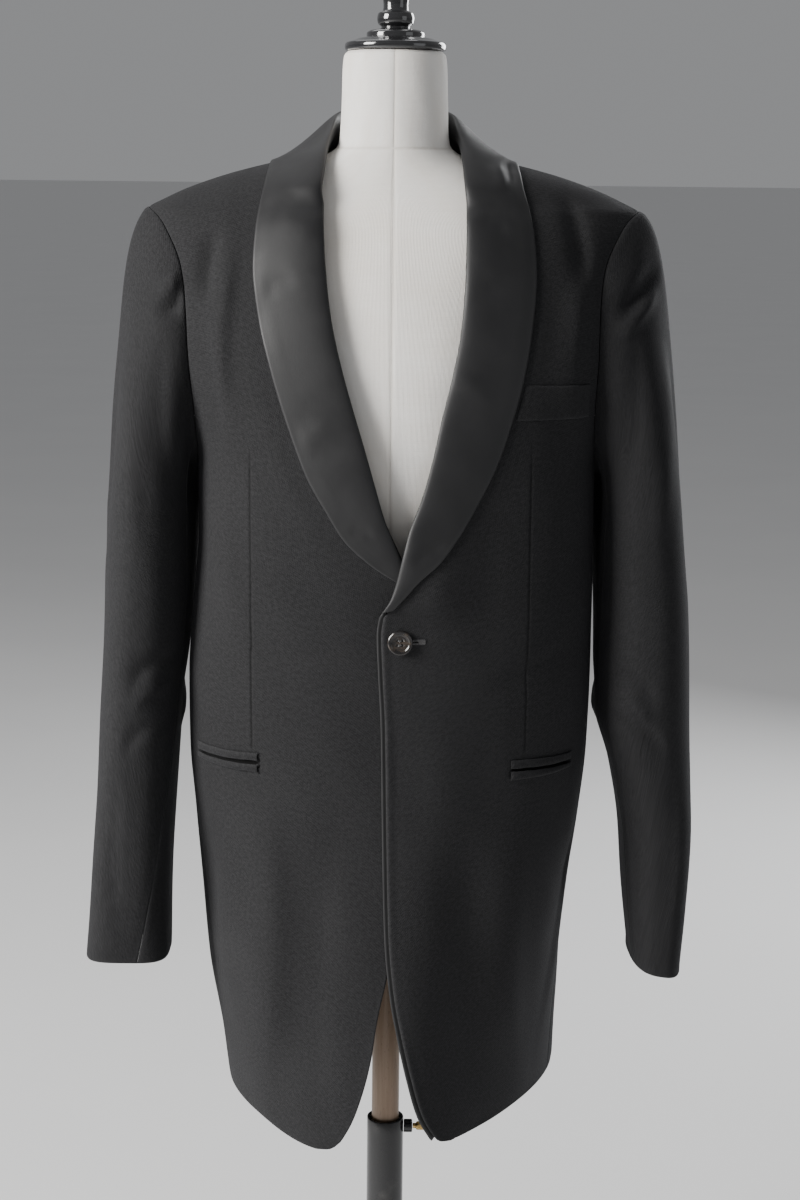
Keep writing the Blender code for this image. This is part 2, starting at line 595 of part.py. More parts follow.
def back_patch(left):
    rows = LOWER_ROWS + UNDERARM_ROWS + BACK_CHEST_ROWS + SHOULDER_ROWS[:-1]

    def shape(u, v):
        z = spread(rows, v)
        rim = back_rim(z, left)
        rim = rim + trim(rim, z, np.where(z > ARMHOLE_MID_Z, RIDGE_GAP, CORNER_GAP) / 2)
        neck = np.clip((z - 1.4280) / (1.4405 - 1.4280), 0, 1)
        inner = math.pi - trim(np.full_like(z, math.pi - 0.02), z, SEAM_GAP / 2)
        opening = inner - np.sqrt(neck) * math.radians(72.0)
        turn = opening + (rim - opening) * u
        high = z + hem_drop(turn, z, left)
        return body(signed(turn, left), high)

    return shape, len(rows) - 1


# ---------------------------------------------------------------- sleeves
# Direction and fullness of the sleeve head, x outward, at the armhole and where it meets the tube
SLEEVE_LEAVES_UNDERARM = np.array([0.0060, 0.0, -0.0160])
SLEEVE_LEAVES_RIGHT = np.array([0.0290, 0.0, -0.0080])
SLEEVE_LEAVES_LEFT = np.array([0.0320, 0.0, -0.0060])
SLEEVE_SWAY = np.array([0.0, -0.011, 0.0])
SLEEVE_MEETS_UNDERARM = np.array([-0.0005, 0.0, 0.0120])
SLEEVE_MEETS_SHOULDER = np.array([-0.0130, 0.0, 0.1260])
CUFF_SLOPE_LEFT = 0.14  # how much lower the left cuff hangs outward
CUFF_SLOPE_HEIGHT = 0.4
SLEEVE_MIDDLE_X = 0.25
SEAM_FRONT_AT_ARMHOLE, SEAM_BACK_AT_ARMHOLE = 138.0, 250.0
SLEEVE_RADIUS = 0.05


def sleeve_section(table, angle, z):
    """Point of the sleeve below the join, x outward."""
    inner, outer = column(table, "inner", z), column(table, "outer", z)
    front, back = column(table, "front", z), column(table, "back", z)
    power, shear = column(table, "power", z), column(table, "shear", z)
    a = np.radians(angle)
    cosine, sine = np.cos(a), np.sin(a)
    reach = (np.abs(cosine) ** power + np.abs(sine) ** power) ** (-1 / power)
    middle = (front + back) / 2
    y = middle - (back - front) / 2 * reach * sine
    x = (inner + outer) / 2 + (outer - inner) / 2 * reach * cosine - (y - middle) * shear
    return np.stack([x, y, np.broadcast_to(z, x.shape)], axis=-1)


def sleeve_head(table, angle, t, left):
    """The sleeve head: a curve from each point of the armhole, out and over, down to the upright tube."""
    start = armhole(angle, left) * (1, 1, 1) if left else armhole(angle, left) * (-1, 1, 1)
    end = sleeve_section(table, angle, SLEEVE_JOIN_Z)
    a = np.radians(angle)[..., None]
    top = (1 + np.cos(a)) / 2
    sway = np.sin(a) * SLEEVE_SWAY
    crown = SLEEVE_LEAVES_LEFT if left else SLEEVE_LEAVES_RIGHT
    out = (1 - top) * SLEEVE_LEAVES_UNDERARM + top * crown + sway
    rise = (1 - top) * SLEEVE_MEETS_UNDERARM + top * SLEEVE_MEETS_SHOULDER
    start = start + out / np.linalg.norm(out, axis=-1, keepdims=True) * SEAM_GAP * 2.5
    t = t[..., None]
    return (
        start * (1 - t) ** 3
        + 3 * (start + out) * t * (1 - t) ** 2
        + 3 * (end + rise) * t * t * (1 - t)
        + end * t**3
    )


def sleeve_patch(left, under):
    """Top or under sleeve, from its armhole edge (v = 0) to the cuff (v = 1)."""
    table = SLEEVE_LEFT if left else SLEEVE_RIGHT
    cuff = min(row.z for row in table)
    head_rows = (0.0, 0.06, 0.14, 0.25, 0.38, 0.55, 0.77, 1.0)
    arm_rows = (1.06, 0.99, 0.93, 0.87, 0.81, 0.75, cuff)
    count = len(head_rows) + len(arm_rows) - 1

    def shape(u, v):
        place = v * count
        t = np.interp(place, np.arange(len(head_rows)), head_rows)
        z = np.interp(place, np.arange(len(head_rows) - 1, count + 1), (SLEEVE_JOIN_Z,) + arm_rows)
        front, back = column(table, "seam_front", z), column(table, "seam_back", z)
        near = np.interp(place, [0, len(head_rows) - 1], [1.0, 0.0])
        front = front + (SEAM_FRONT_AT_ARMHOLE - front) * near
        back = back + (SEAM_BACK_AT_ARMHOLE - back) * near
        inset = math.degrees(SLEEVE_GAP / 2 / SLEEVE_RADIUS)
        if under:
            angle = front + inset + (back - front - 2 * inset) * u
        else:
            angle = back - 360 + inset + (front - back + 360 - 2 * inset) * u
        head = sleeve_head(table, angle, t, left)
        arm = sleeve_section(table, angle, z)
        point = np.where((place <= len(head_rows) - 1)[..., None], head, arm)
        if left:
            lowered = np.clip((SLEEVE_JOIN_Z - z) / CUFF_SLOPE_HEIGHT, 0, 1)
            point[..., 2] -= lowered * (point[..., 0] - SLEEVE_MIDDLE_X) * CUFF_SLOPE_LEFT
        return point * ((1, 1, 1) if left else (-1, 1, 1))

    return shape, count


# ---------------------------------------------------------------- shawl collar
def collar_sections(left):
    """Leg, roll and edge points and both fullness values of each section, break first, centre back last."""
    rows = []
    lapel = LAPEL_LEFT if left else LAPEL_RIGHT
    sign = 1 if left else -1
    for index, row in enumerate(lapel):
        (rx, rz), (ex, ez) = row.roll, row.edge
        lx, lz = rx + (ex - rx) * row.leg, rz + (ez - rz) * row.leg
        xs, zs = np.array([rx, ex, lx]) * sign, np.array([rz, ez, lz])
        tau = tau_at_x(xs, zs)
        base = overlap_lift(xs, zs) if left else np.zeros(3)
        roll, edge = base[0] + 0.0006, base[1] + SATIN + 0.0012
        leg = base[2] - WOOL - SATIN - 0.0014
        points = body(tau, zs, np.array([roll, edge, leg]))
        rows.append((points[2], points[0], points[1], row.rise, row.belly))
    for row in NECK:
        flip = np.array([sign, 1, 1])
        rows.append((row.leg * flip, row.roll * flip, row.edge * flip, row.rise, row.belly))
    return [np.array(part, float) for part in zip(*rows)]


def collar_patch(left):
    """The collar as a fold: up its leg, over the roll and down the fall to its outer edge."""
    leg, roll, edge, rise, belly = collar_sections(left)
    count = len(rise)
    inner_share = 0.27

    def path(table, at):
        knots = np.arange(count)
        if table.ndim == 1:
            return monotone(knots, table, at)
        return np.stack([monotone(knots, table[:, i], at) for i in range(3)], axis=-1)

    def shape(u, v):
        at = v * (count - 1)
        foot, fold, rim = path(leg, at), path(roll, at), path(edge, at)
        high, full = path(rise, at)[..., None], path(belly, at)[..., None]
        width = rim - fold
        along = width / np.linalg.norm(width, axis=-1, keepdims=True)
        middle = (fold + rim) / 2
        guess = middle - np.stack([np.zeros_like(at), np.zeros_like(at), fold[..., 2] - 0.03], axis=-1)
        normal = guess - (guess * along).sum(-1, keepdims=True) * along
        normal /= np.linalg.norm(normal, axis=-1, keepdims=True)
        s = np.clip(u / inner_share, 0, 1)[..., None]
        t = np.clip((u - inner_share) / (1 - inner_share), 0, 1)[..., None] ** 1.25
        depth = ((fold - foot) * normal).sum(-1, keepdims=True)
        run = fold - foot - normal * depth
        turned_in = (
            foot * (1 - s) ** 3
            + 3 * (foot + run * 0.75) * s * (1 - s) ** 2
            + 3 * (fold - normal * np.minimum(0.95 * depth, 0.75 * high)) * s * s * (1 - s)
            + fold * s**3
        )
        fall = (
            fold * (1 - t) ** 3
            + 3 * (fold + normal * high) * t * (1 - t) ** 2
            + 3 * (rim - width * 0.55 + normal * full) * t * t * (1 - t)
            + rim * t**3
        )
        return np.where((u <= inner_share)[..., None], turned_in, fall)

    return shape, count - 1


# ---------------------------------------------------------------- small pieces on the panels
def laid(low, high, start, stop, lift, left, bulge=0.0, slant=0.0):
    """A strip on a front between two lines, each given by its height at its two ends."""

    def shape(u, v):
        near = start + slant * u
        x = near + (stop - near) * v
        base = low[0] + (low[1] - low[0]) * v
        top = high[0] + (high[1] - high[0]) * v
        z = base + (top - base) * u
        raised = lift + bulge * np.sin(math.pi * v) * np.sin(math.pi * u)
        raised = raised + (overlap_lift(x, z) if left else 0)
        return body(tau_at_x(x * (1 if left else -1), z), z, raised)

    return shape


def facing_shape(u, v):
    """Strip just inside the over-panel, showing 2 mm beyond its edge."""
    rows = [row.z for row in EDGE_LEFT if 0.54 < row.z < 1.045]
    z = spread([0.5445] + rows[2:-1] + [1.040], v)
    x = column(EDGE_LEFT, "x", z)
    slope = (column(EDGE_LEFT, "x", z + 0.002) - column(EDGE_LEFT, "x", z - 0.002)) / 0.004
    across = np.stack([np.ones_like(slope), -slope], axis=-1) / np.sqrt(1 + slope**2)[..., None]
    shift = -0.0020 + 0.014 * u
    px, pz = x + across[..., 0] * shift, z + across[..., 1] * shift
    pz = np.maximum(pz, 0.5375)
    pz = pz + hem_drop(np.abs(tau_at_x(px, pz)), pz, True)
    return body(tau_at_x(px, pz), pz, overlap_lift(px, pz) - WOOL - 2 * LAY_GAP)


# ---------------------------------------------------------------- form and stand
def torso(name, group, look, around=48):
    """Loft through the form's rings, closed below and above by flat ends."""
    rows = [row.z for row in FORM]
    fine = []
    for low, high in zip(rows[:-1], rows[1:]):
        cuts = max(1, round((high - low) / 0.028))
        fine += [low + (high - low) * k / cuts for k in range(cuts)]
    fine.append(rows[-1])
    z = np.array(fine)[:, None]
    turn = np.linspace(0, 2 * math.pi, around, endpoint=False)[None, :]
    power = column(FORM, "power", z)
    sine, cosine = np.sin(turn), np.cos(turn)
    reach = (np.abs(sine) ** power + np.abs(cosine) ** power) ** (-1 / power)
    deep = np.where(cosine >= 0, -column(FORM, "front", z), column(FORM, "back", z))
    x, y = column(FORM, "half", z) * reach * sine, -deep * reach * cosine
    points = np.stack([x, y, np.broadcast_to(z, x.shape)], axis=-1).reshape(-1, 3)
    faces = []
    for i in range(len(fine) - 1):
        for j in range(around):
            k = (j + 1) % around
            faces.append((i * around + j, i * around + k, (i + 1) * around + k, (i + 1) * around + j))
    faces.append(tuple(range(around))[::-1])
    faces.append(tuple((len(fine) - 1) * around + j for j in range(around)))
    mesh = bpy.data.meshes.new(name)
    mesh.from_pydata([tuple(p) for p in points], [], faces)
    return add(name, mesh, group, look)


def build() -> None:
    clear_scene()
    jacket = bpy.data.collections.new("dinner_jacket_on_form")
    cutters = bpy.data.collections.new("cutters")
    cutters.hide_render = True
    bpy.context.scene.collection.children.link(jacket)
    bpy.context.scene.collection.children.link(cutters)

    wool = material("black_wool", (0.020, 0.020, 0.022), 0.85)
    satin = material("black_satin", (0.030, 0.030, 0.033), 0.38)
    horn = material("dark_horn", (0.030, 0.022, 0.018), 0.22)
    linen = material("ivory_linen", (0.780, 0.740, 0.660), 0.90)
    lacquer = material("black_lacquer", (0.012, 0.012, 0.012), 0.15)
    beech = material("waxed_beech", (0.420, 0.290, 0.170), 0.50)
    steel = material("black_steel", (0.020, 0.020, 0.022), 0.35, 1.0)
    brass = material("brass", (0.620, 0.460, 0.200), 0.30, 1.0)
    iron = material("black_iron", (0.030, 0.030, 0.032), 0.60, 1.0)

    for side, left in (("left", True), ("right", False)):
        arm = (0.235 if left else -0.235, -0.005)
        shape, rows = front_patch(left)
        cloth(f"front_{side}", 10, rows, shape, WOOL, jacket, wool)
        shape, rows = side_patch(left)
        cloth(f"side_{side}", 4, rows, shape, WOOL, jacket, wool)
        shape, rows = back_patch(left)
        cloth(f"back_{side}", 6, rows, shape, WOOL, jacket, wool)
        shape, rows = sleeve_patch(left, under=False)
        cloth(f"sleeve_top_{side}", 10, rows, shape, WOOL, jacket, wool, arm)
        shape, rows = sleeve_patch(left, under=True)
        cloth(f"sleeve_under_{side}", 4, rows, shape, WOOL, jacket, wool, arm)
        shape, rows = collar_patch(left)
        cloth(f"collar_{side}", 10, rows, shape, SATIN, jacket, satin)
        near, far, z = POCKET_LEFT if left else POCKET_RIGHT
        upper = laid((z + 0.0025, z + 0.0010), (z + 0.0108, z + 0.0088), near, far, LAY_GAP + JET, left, 0.0012)
        lower = laid((z - 0.0085, z - 0.0065), (z, z - 0.0015), near, far, LAY_GAP + JET, left, 0.0020)
        cloth(f"pocket_{side}_upper", 2, 6, upper, JET, jacket, wool)
        cloth(f"pocket_{side}_lower", 2, 6, lower, JET, jacket, wool)

    welt = laid((1.2178, 1.2182), (1.2490, 1.2475), 0.1085, 0.1745, LAY_GAP + JET, True, slant=0.0085)
    cloth("breast_welt", 2, 6, welt, JET, jacket, wool)
    cloth("front_facing", 2, 12, facing_shape, FACING, jacket, satin)

    seat = body(tau_at_x(BUTTON_X, BUTTON_Z), BUTTON_Z, overlap_lift(BUTTON_X, BUTTON_Z) + 4 * LAY_GAP)
    made = turned("button", BUTTON_PROFILE, tuple(seat), jacket, horn, steps=28, axis="-Y")
    for i in range(4):
        hole = bmesh.new()
        radius = BUTTON_HOLE_RADIUS
        bmesh.ops.create_cone(hole, segments=8, radius1=radius, radius2=radius, depth=0.012, cap_ends=True)
        mesh = bpy.data.meshes.new(f"hole_{i}")
        hole.to_mesh(mesh)
        hole.free()
        cutter = add(f"hole_{i}", mesh, cutters, horn)
        cutter.display_type = "WIRE"
        cutter.rotation_euler = (math.pi / 2, 0.0, 0.0)
        dx, dz = (BUTTON_HOLE_OUT * sign for sign in ((-1, -1), (-1, 1), (1, -1), (1, 1))[i])
        cutter.location = (seat[0] + dx, seat[1] - BUTTON_THICK / 2, seat[2] + dz)
        cut = made.modifiers.new(f"hole_{i}", "BOOLEAN")
        cut.operation, cut.solver, cut.object = "DIFFERENCE", "EXACT", cutter

    torso("form_torso", jacket, linen)
    turned("neck_cap", CAP_PROFILE, (0.0, 0.001, CAP_Z), jacket, lacquer)
    pole_length = POLE_TOP - POLE_BOTTOM
    pole = (
        (0.0, pole_length), (POLE_RADIUS - 0.001, pole_length), (POLE_RADIUS, pole_length - 0.001),
        (POLE_RADIUS, 0.001), (POLE_RADIUS - 0.001, 0.0), (0.0, 0.0),
    )
    turned("pole", pole, (0.0, 0.0, POLE_BOTTOM), jacket, beech, steps=36)
    tube_length = TUBE_TOP - TUBE_BOTTOM
    tube = (
        (TUBE_INNER, tube_length), (TUBE_OUTER - 0.001, tube_length), (TUBE_OUTER, tube_length - 0.001),
        (TUBE_OUTER, 0.0), (TUBE_INNER, 0.0), (TUBE_INNER, tube_length),
    )
    turned("tube", tube, (0.0, 0.0, TUBE_BOTTOM), jacket, steel, steps=36)
    turned("base", BASE_PROFILE, (0.0, 0.0, 0.0), jacket, iron, steps=64)
    boss = (
        (0.0, BOSS_LENGTH), (BOSS_RADIUS - 0.0008, BOSS_LENGTH), (BOSS_RADIUS, BOSS_LENGTH - 0.0008),
        (BOSS_RADIUS, 0.0), (0.0, 0.0),
    )
    turned("clamp_boss", boss, (TUBE_OUTER + SEAM_GAP, 0.0, BOSS_Z), jacket, steel, steps=24, axis="X")
    screw = (
        (0.0, 0.0110), (0.0034, 0.0110), (0.0042, 0.0100), (0.0042, 0.0045), (0.0034, 0.0035),
        (0.0026, 0.0030), (0.0026, 0.0), (0.0, 0.0),
    )
    start = TUBE_OUTER + SEAM_GAP + BOSS_LENGTH + SEAM_GAP
    turned("clamp_screw", screw, (start, 0.0, BOSS_Z), jacket, brass, steps=24, axis="X")


build()
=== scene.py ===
"""A black dinner jacket with a satin shawl collar, worn by a padded dress form on its pole stand.

Fine surfaces for the cloth, the form and the stand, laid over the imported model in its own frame: metres, +Z up,
the front towards -Y and the wearer's left towards +X.
"""

import logging
import math
from dataclasses import dataclass
from enum import Enum
from functools import reduce
from typing import Callable, NamedTuple, Sequence

import bpy
import numpy as np
from mathutils import Matrix, Vector


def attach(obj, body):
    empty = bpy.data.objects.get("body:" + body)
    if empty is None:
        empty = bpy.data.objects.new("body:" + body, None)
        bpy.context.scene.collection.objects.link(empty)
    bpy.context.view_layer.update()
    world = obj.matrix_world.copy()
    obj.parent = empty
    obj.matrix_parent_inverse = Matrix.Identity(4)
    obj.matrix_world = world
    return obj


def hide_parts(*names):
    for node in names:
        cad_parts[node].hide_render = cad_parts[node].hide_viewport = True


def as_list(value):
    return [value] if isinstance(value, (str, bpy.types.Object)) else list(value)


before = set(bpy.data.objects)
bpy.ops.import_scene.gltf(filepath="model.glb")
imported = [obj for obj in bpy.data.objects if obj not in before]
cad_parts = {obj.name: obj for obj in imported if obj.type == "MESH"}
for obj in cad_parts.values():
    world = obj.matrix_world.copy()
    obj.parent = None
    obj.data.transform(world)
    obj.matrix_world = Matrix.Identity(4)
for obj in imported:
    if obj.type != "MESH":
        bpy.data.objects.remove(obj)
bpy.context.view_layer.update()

Array = np.ndarray
Pair = tuple[float, float]
Socket = bpy.types.NodeSocket
LOG = logging.getLogger("dinner_jacket")

WOOL, SATIN, FACING, JET = 0.0016, 0.0014, 0.0011, 0.0012  # cloth walls
SEAM_GAP = 0.0001
HEM_Z, SHOULDER_Z = 0.5375, 1.397
SLEEVE_JOIN_Z = 1.126
BUTTON_X, BUTTON_Z = 0.0097, 1.0234
BAND_PITCH = 0.314  # pitch of a wave texture's bands at a scale of 1


# ---------------------------------------------------------------- tables of sizes
class BodyRing(NamedTuple):
    """One level of the jacket's outer face: half-widths, y of its front, back and widest place, and squareness."""

    z: float
    right: float
    left: float
    front: float
    back: float
    mid_right: float
    mid_left: float
    pow_right: float
    pow_left: float
    pow_back: float


class HemDip(NamedTuple):
    """How high the hem hangs, by degrees round the body from centre front."""

    degrees: float
    right: float
    left: float


class EdgePoint(NamedTuple):
    """A point of a front's inner edge: its height, and how far it lies to the wearer's left of centre."""

    z: float
    x: float


class CollarStation(NamedTuple):
    """One section across a lapel: roll and outer edge as (out from centre, up), the turned-in share and fullness."""

    roll: Pair
    edge: Pair
    leg: float
    rise: float
    belly: float


class NeckStation(NamedTuple):
    """One section of the collar round the neck: its foot, roll and outer edge, x outward, and its fullness."""

    leg: tuple[float, float, float]
    roll: tuple[float, float, float]
    edge: tuple[float, float, float]
    rise: float
    belly: float


class SleeveRing(NamedTuple):
    """One level of a sleeve, x outward; the seam angles run 0 outside, 90 in front, 180 inside."""

    z: float
    inner: float
    outer: float
    front: float
    back: float
    power: float
    shear: float
    seam_front: float
    seam_back: float


class FormRing(NamedTuple):
    """One level of the padded form."""

    z: float
    half: float
    front: float
    back: float
    power: float


class Lamp(NamedTuple):
    """One rectangular light, which looks at the chest: its place, size, watts and tone."""

    name: str
    at: tuple[float, float, float]
    size: Pair
    watts: float
    tone: tuple[float, float, float]


def rows_of(kind: Callable[..., NamedTuple], rows: Sequence[Sequence[object]]) -> tuple[NamedTuple, ...]:
    """Gives each row its named columns."""
    return tuple(kind(*row) for row in rows)


BODY = rows_of(BodyRing, (
    (0.520, 0.1540, 0.1690, -0.128, 0.135, 0.040, 0.090, 1.70, 1.50, 2.4),
    (0.600, 0.1640, 0.1700, -0.128, 0.133, 0.035, 0.070, 1.75, 1.60, 2.4),
    (0.680, 0.1755, 0.1715, -0.128, 0.130, 0.025, 0.045, 1.90, 1.80, 2.4),
    (0.760, 0.1805, 0.1760, -0.128, 0.125, 0.018, 0.025, 2.10, 2.00, 2.4),
    (0.830, 0.1850, 0.1830, -0.127, 0.118, 0.010, 0.012, 2.25, 2.20, 2.4),
    (0.900, 0.1890, 0.1885, -0.127, 0.109, 0.004, 0.004, 2.40, 2.35, 2.4),
    (0.970, 0.1890, 0.1895, -0.129, 0.100, 0.0, 0.0, 2.50, 2.50, 2.4),
    (1.040, 0.1840, 0.1895, -0.132, 0.097, 0.0, 0.0, 2.50, 2.50, 2.4),
    (1.110, 0.1790, 0.1880, -0.135, 0.103, 0.0, 0.0, 2.50, 2.50, 2.4),
    (1.170, 0.1790, 0.1880, -0.136, 0.111, 0.0, 0.0, 2.50, 2.50, 2.4),
    (1.210, 0.1870, 0.1930, -0.133, 0.115, 0.0, 0.0, 2.60, 2.60, 2.5),
    (1.260, 0.2010, 0.2040, -0.126, 0.116, 0.0, 0.0, 2.65, 2.65, 2.6),
    (1.310, 0.2120, 0.2130, -0.115, 0.112, 0.0, 0.0, 2.50, 2.50, 2.5),
    (1.350, 0.2170, 0.2170, -0.104, 0.106, 0.0, 0.0, 2.30, 2.30, 2.3),
    (1.380, 0.2235, 0.2235, -0.091, 0.098, 0.0, 0.0, 2.05, 2.05, 2.0),
    (1.397, 0.2240, 0.2240, -0.080, 0.091, 0.0, 0.0, 1.85, 1.85, 1.8),
    (1.403, 0.2120, 0.2120, -0.0755, 0.088, 0.0, 0.0, 1.80, 1.80, 1.8),
    (1.410, 0.1980, 0.1980, -0.071, 0.084, 0.0, 0.0, 1.80, 1.80, 1.8),
    (1.420, 0.1730, 0.1730, -0.064, 0.079, 0.0, 0.0, 1.80, 1.80, 1.8),
    (1.430, 0.1420, 0.1420, -0.056, 0.073, 0.0, 0.0, 1.80, 1.80, 1.8),
    (1.4375, 0.1120, 0.1120, -0.048, 0.068, 0.0, 0.0, 1.85, 1.85, 1.85),
    (1.444, 0.0850, 0.0850, -0.040, 0.062, 0.0, 0.0, 1.90, 1.90, 1.9),
    (1.451, 0.0680, 0.0680, -0.034, 0.056, 0.0, 0.0, 1.90, 1.90, 1.9),
))

HEM = rows_of(HemDip, (
    (0.0, 0.5245, 0.5330), (28.0, 0.5250, 0.5325), (60.0, 0.5365, 0.5360), (82.0, 0.5400, 0.5370),
    (126.0, 0.5410, 0.5395), (180.0, 0.5410, 0.5410),
))

EDGE_LEFT = rows_of(EdgePoint, (
    (0.5375, 0.0600), (0.5405, 0.0500), (0.5530, 0.0405), (0.5710, 0.0320), (0.6055, 0.0225), (0.6445, 0.0140),
    (0.6865, 0.0065), (0.7455, 0.0010), (0.8500, -0.0020), (0.9465, -0.0040), (0.9930, -0.0065), (1.0285, -0.0080),
    (1.0440, -0.0060), (1.0600, 0.0070), (1.0800, 0.0110), (1.1000, 0.0150), (1.1510, 0.0325), (1.2205, 0.0495),
    (1.2970, 0.0655), (1.3475, 0.0690), (1.3850, 0.0720), (1.4150, 0.0770), (1.4300, 0.0780), (1.4450, 0.0760),
))

EDGE_RIGHT = rows_of(EdgePoint, (
    (0.5375, -0.0660), (0.5410, -0.0520), (0.5585, -0.0365), (0.5900, -0.0230), (0.6255, -0.0135),
    (0.6660, -0.0070), (0.7000, 0.0000), (0.7500, 0.0095), (0.8200, 0.0190), (0.9000, 0.0260), (0.9700, 0.0290),
    (1.0300, 0.0290), (1.0560, 0.0225), (1.0750, 0.0140), (1.0975, 0.0055), (1.1315, -0.0100), (1.1930, -0.0280),
    (1.2530, -0.0460), (1.3120, -0.0595), (1.3630, -0.0665), (1.4055, -0.0750), (1.4300, -0.0780),
    (1.4450, -0.0760),
))

LAPEL_LEFT = rows_of(CollarStation, (
    ((-0.0066, 1.0500), (0.0035, 1.0530), 0.80, 0.0042, 0.0030),
    ((0.0005, 1.0620), (0.0140, 1.0650), 0.65, 0.0044, 0.0032),
    ((0.0058, 1.0780), (0.0262, 1.0795), 0.45, 0.0046, 0.0034),
    ((0.0107, 1.0990), (0.0430, 1.0955), 0.30, 0.0048, 0.0040),
    ((0.0165, 1.1230), (0.0600, 1.1185), 0.25, 0.0050, 0.0046),
    ((0.0270, 1.1510), (0.0770, 1.1475), 0.25, 0.0052, 0.0052),
    ((0.0365, 1.1860), (0.0925, 1.1790), 0.24, 0.0053, 0.0058),
    ((0.0440, 1.2205), (0.1030, 1.2095), 0.24, 0.0054, 0.0064),
    ((0.0535, 1.2600), (0.1145, 1.2520), 0.24, 0.0052, 0.0066),
    ((0.0600, 1.2970), (0.1215, 1.2930), 0.24, 0.0054, 0.0070),
    ((0.0635, 1.3475), (0.1255, 1.3410), 0.24, 0.0056, 0.0074),
    ((0.0640, 1.3850), (0.1230, 1.3790), 0.24, 0.0058, 0.0076),
    ((0.0640, 1.4010), (0.1198, 1.3970), 0.24, 0.0060, 0.0078),
))

LAPEL_RIGHT = rows_of(CollarStation, (
    ((-0.0195, 1.0740), (-0.0070, 1.0760), 0.60, 0.0034, 0.0020),
    ((-0.0107, 1.0975), (0.0130, 1.0885), 0.40, 0.0036, 0.0024),
    ((0.0045, 1.1315), (0.0400, 1.1125), 0.28, 0.0044, 0.0038),
    ((0.0135, 1.1620), (0.0570, 1.1395), 0.25, 0.0050, 0.0048),
    ((0.0225, 1.1930), (0.0725, 1.1665), 0.25, 0.0052, 0.0054),
    ((0.0405, 1.2530), (0.0965, 1.2310), 0.24, 0.0052, 0.0060),
    ((0.0480, 1.2820), (0.1065, 1.2640), 0.24, 0.0053, 0.0066),
    ((0.0540, 1.3120), (0.1155, 1.2990), 0.24, 0.0054, 0.0070),
    ((0.0595, 1.3630), (0.1222, 1.3480), 0.24, 0.0056, 0.0074),
    ((0.0606, 1.3860), (0.1208, 1.3780), 0.24, 0.0058, 0.0076),
    ((0.0610, 1.4010), (0.1185, 1.3965), 0.24, 0.0060, 0.0078),
))

NECK = rows_of(NeckStation, (
    ((0.0765, -0.062, 1.4050), (0.0630, -0.068, 1.4150), (0.1165, -0.056, 1.4125), 0.0062, 0.0066),
    ((0.0720, -0.0455, 1.4245), (0.061, -0.047, 1.4365), (0.1130, -0.033, 1.4310), 0.0066, 0.0048),
    ((0.0690, -0.024, 1.4405), (0.0590, -0.0245, 1.454), (0.1110, -0.010, 1.4400), 0.0064, 0.0028),
    ((0.0660, 0.0000, 1.4475), (0.0555, -0.001, 1.4690), (0.1085, 0.0140, 1.4395), 0.0062, 0.0014),
    ((0.0615, 0.0210, 1.4480), (0.0525, 0.0210, 1.4800), (0.1020, 0.0370, 1.4360), 0.0064, 0.0024),
    ((0.0510, 0.0400, 1.4470), (0.0455, 0.0430, 1.4855), (0.0860, 0.0610, 1.4295), 0.0066, 0.0048),
    ((0.0340, 0.0555, 1.4440), (0.0305, 0.0600, 1.4875), (0.0580, 0.0800, 1.4225), 0.0068, 0.0060),
    ((0.0170, 0.0620, 1.4420), (0.0150, 0.0675, 1.4880), (0.0290, 0.0875, 1.4195), 0.0066, 0.0060),
    ((0.0002, 0.0640, 1.4415), (0.0002, 0.0695, 1.4880), (0.0002, 0.0895, 1.4185), 0.0066, 0.0060),
))

SLEEVE_RIGHT = rows_of(SleeveRing, (
    (1.126, 0.1815, 0.2640, -0.083, 0.080, 2.30, 0.00, 148.0, 255.0),
    (1.030, 0.1870, 0.2675, -0.081, 0.074, 2.35, 0.00, 156.0, 255.0),
    (0.933, 0.1965, 0.2725, -0.076, 0.063, 2.50, 0.00, 155.0, 252.0),
    (0.834, 0.2035, 0.2780, -0.070, 0.048, 2.70, 0.00, 138.0, 244.0),
    (0.733, 0.2085, 0.2855, -0.062, 0.030, 3.10, 0.00, 117.0, 230.0),
    (0.690, 0.2095, 0.2890, -0.058, 0.022, 3.50, 0.00, 107.0, 222.0),
))

SLEEVE_LEFT = rows_of(SleeveRing, (
    (1.126, 0.1925, 0.2710, -0.083, 0.080, 2.30, 0.00, 148.0, 255.0),
    (1.036, 0.1940, 0.2795, -0.082, 0.076, 2.35, 0.00, 156.0, 255.0),
    (0.935, 0.1950, 0.2840, -0.078, 0.070, 2.40, 0.00, 160.0, 256.0),
    (0.875, 0.2110, 0.2860, -0.073, 0.065, 2.45, 0.02, 162.0, 258.0),
    (0.815, 0.2230, 0.2880, -0.068, 0.061, 2.50, 0.04, 162.0, 262.0),
    (0.745, 0.2290, 0.2860, -0.064, 0.056, 2.60, 0.05, 160.0, 266.0),
    (0.684, 0.2355, 0.2820, -0.060, 0.050, 2.70, 0.05, 158.0, 268.0),
))

